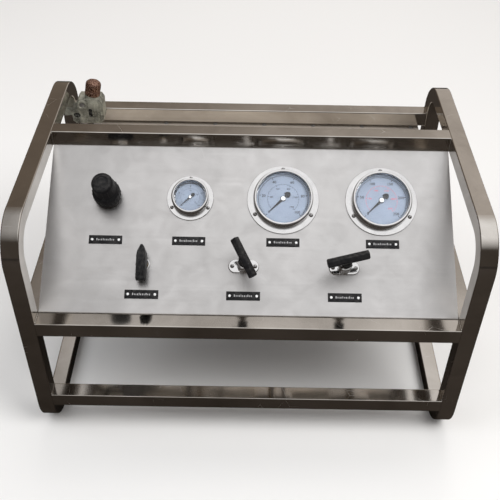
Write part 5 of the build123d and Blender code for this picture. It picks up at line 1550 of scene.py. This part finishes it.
@dataclass
class Pump:
    """Air-driven intensifier pump: cylinder between plates, hydraulic block below."""

    x: float = -295.0
    y: float = 148.0
    cylinder_r: float = 60.0
    cylinder_foot: float = 158.0
    cylinder_top: float = 296.0
    ring_depth: float = 5.0
    head_top: float = 316.0
    head_screws_at: Point = (52.0, 20.0)

    def joint_rings(self) -> None:
        """Turn the sealing rings at both ends of the cylinder."""
        work = Workpiece(Matrix.Translation((self.x, self.y, 0)))
        r = self.cylinder_r
        for low in (self.cylinder_foot + 0.1, self.cylinder_top - self.ring_depth - 0.1):
            high = low + self.ring_depth
            work.turned([(r + 0.02, low), (r + 1.4, low), (r + 1.8, low + 0.6), (r + 1.8, high - 0.8),
                         (r + 1.4, high), (r + 0.02, high)], steps=72)
        work.finish("cylinder_end_rings", BLACK_PLATE_AND_SHADE, "frame")

    def head_screws(self) -> None:
        """Set socket screws in the head plate round the spool block, each with a dark hexagon of painted
        shade for its socket.
        """
        work, socket_shade = Workpiece(), Workpiece()
        reach_x, reach_y = self.head_screws_at
        for dx in (-reach_x, reach_x):
            for dy in (-reach_y, reach_y):
                seat = Matrix.Translation((self.x + dx, self.y + dy, self.head_top))
                work.stand_on(seat)
                work.turned([(0, 0), (4.5, 0), (4.5, 4.4), (4.0, 5.0), (0, 5.0)], steps=24)
                # A dark hexagon on each head is painted shade for its hex socket.
                socket_shade.stand_on(seat)
                socket_shade.prism(2.4, 4.6, 5.1, 6)
        work.finish("head_socket_screws", MACHINED, "frame")
        socket_shade.finish("head_socket_shade", BLACK_PLATE_AND_SHADE, "frame")

    def build(self) -> None:
        """Dress the pump and add its rings and screws."""
        dress_nodes(ALLOY, "pump_lower_flange", "air_cylinder", "pump_air_head", "air_piston")
        dress_nodes(MACHINED, "hydraulic_body", "tie_rods", "pump_spool")
        dress_nodes(BRASS, "spool_plugs", "check_valves")
        self.joint_rings()
        self.head_screws()


@dataclass
class Pipework:
    """Air and pressure lines, their nuts, blocks and the outlet."""

    def build(self) -> None:
        """Dress the lines and fittings."""
        dress_nodes(PLASTIC, "air_tubing")
        dress_nodes(BRIGHT, "pressure_tubing")
        dress_nodes(MACHINED, "suction_tube", "distribution_blocks", "outlet_bulkhead", "tube_nuts")
        dress_nodes(TANK_SHEET, "port_plate")


# ------------------------------------------------------------------ studio
@dataclass(frozen=True)
class SoftBox:
    """One square lamp: where it hangs and its side, in metres, and its power in watts."""

    name: str
    at: Spot
    size: float
    power: float
    colour: Colour = (1.0, 1.0, 1.0)


@dataclass
class Studio:
    """Pale floor, soft light and the camera, in metres."""

    eye: Spot = (-0.00246, -1.1953, 1.2996)
    right: Spot = (0.99985, 0.00954, 0.01438)
    up: Spot = (-0.01710, 0.66244, 0.74892)
    forward: Spot = (0.00238, 0.74905, -0.66251)
    lens: float = 56.4
    sensor: float = 36.0
    aim: Spot = (0.0, 0.0, 0.25)
    floor_colour: Colour = (0.86, 0.86, 0.86)
    floor_mirrored: Colour = (0.035, 0.028, 0.023)
    front_wall: Colour = (0.06, 0.05, 0.042)
    back_wall: tuple[Colour, Colour] = ((0.15, 0.12, 0.095), (0.50, 0.455, 0.415))
    ceiling: tuple[Colour, Colour] = ((0.22, 0.21, 0.205), (0.98, 0.97, 0.97))
    lamps: tuple[SoftBox, ...] = (
        SoftBox("key_light", (1.6, -1.2, 2.9), 1.6, 62.0, (1.0, 0.985, 0.96)),
        SoftBox("fill_light", (-1.9, -0.6, 2.6), 2.2, 34.0, (0.96, 0.98, 1.0)),
        SoftBox("back_light", (0.3, 2.6, 2.4), 2.0, 26.0, (1.0, 0.97, 0.93)),
        SoftBox("low_light", (0.2, -3.0, 0.8), 1.8, 22.0),
    )

    def camera(self) -> None:
        """Set the camera where the unit is seen from."""
        data = bpy.data.cameras.new("camera")
        data.lens, data.sensor_width = self.lens, self.sensor
        camera = bpy.data.objects.new("camera", data)
        turn = Matrix((self.right, self.up, tuple(-c for c in self.forward))).transposed()
        camera.matrix_world = Matrix.Translation(self.eye) @ turn.to_4x4()
        bpy.context.scene.collection.objects.link(camera)
        bpy.context.scene.camera = camera

    def floor(self) -> None:
        """Lay the floor: pale to the eye, and darker where polished steel mirrors it."""
        work = bmesh.new()
        bmesh.ops.create_grid(work, x_segments=1, y_segments=1, size=8.0)
        data = bpy.data.meshes.new("floor")
        work.to_mesh(data)
        work.free()
        look = bpy.data.materials.new("floor_paint")
        look.use_nodes = True
        tree = look.node_tree
        shader = tree.nodes["Principled BSDF"]
        glossy = node(tree, "LightPath").outputs["Is Glossy Ray"]
        tree.links.new(mixed(tree, glossy, self.floor_colour, self.floor_mirrored),
                       shader.inputs["Base Color"])
        shader.inputs["Roughness"].default_value = 0.9
        data.materials.append(look)
        floor = bpy.data.objects.new("floor", data)
        bpy.context.scene.collection.objects.link(floor)

    def sky(self) -> None:
        """Light the room: bright above, warm behind, dim in front, darker to the left."""
        world = bpy.data.worlds.new("studio")
        world.use_nodes = True
        bpy.context.scene.world = world
        tree = world.node_tree
        tree.nodes.clear()
        way = node(tree, "SeparateXYZ", {0: node(tree, "TexCoord").outputs["Generated"]})
        behind = spread(tree, way.outputs["Y"], -0.3, 0.5, 0.0, 1.0)
        wall = mixed(tree, spread(tree, way.outputs["X"], -0.24, 0.24, 0.0, 1.0), *self.back_wall)
        low = mixed(tree, behind, self.front_wall, wall)
        ceiling = mixed(tree, spread(tree, way.outputs["X"], -0.32, -0.2, 0.0, 1.0), *self.ceiling)
        above = spread(tree, way.outputs["Z"], 0.62, 0.9, 0.0, 1.0)
        colour = mixed(tree, above, low, ceiling)
        light = node(tree, "Background", {"Color": colour, "Strength": 1.0})
        node(tree, "OutputWorld", {"Surface": light.outputs[0]})

    def hang(self, box: SoftBox) -> None:
        """Hang one soft box that faces the unit.

        Args:
            box: The lamp.
        """
        data = bpy.data.lights.new(box.name, "AREA")
        data.shape, data.size, data.energy, data.color = "SQUARE", box.size, box.power, box.colour
        lamp = bpy.data.objects.new(box.name, data)
        lamp.location = box.at
        lamp.rotation_euler = (Vector(self.aim) - Vector(box.at)).to_track_quat("-Z", "Y").to_euler()
        lamp.visible_glossy = False
        bpy.context.scene.collection.objects.link(lamp)

    def build(self) -> None:
        """Set up the studio."""
        self.floor()
        self.sky()
        for box in self.lamps:
            self.hang(box)
        self.camera()
        bpy.context.scene.view_settings.view_transform = "Standard"


def main() -> None:
    """Build the unit's looks in order, then the studio."""
    logging.basicConfig(level=logging.INFO, format="%(message)s")
    unloading_x, pressure_x = PANEL.valves_x
    valves = (NeedleValve("unloading", unloading_x, 116.8), NeedleValve("pressure", pressure_x, 14.3))
    for part in (TubeFrame(), ControlPanelSheet(), PanelGauges(), AirRegulator(), PanelNuts(),
                 DriveSwitch(), *valves, ValveMounts(valves), AirInlet(), Tank(), Pump(), Pipework(),
                 Studio()):
        part.build()


if __name__ == "__main__":
    main()
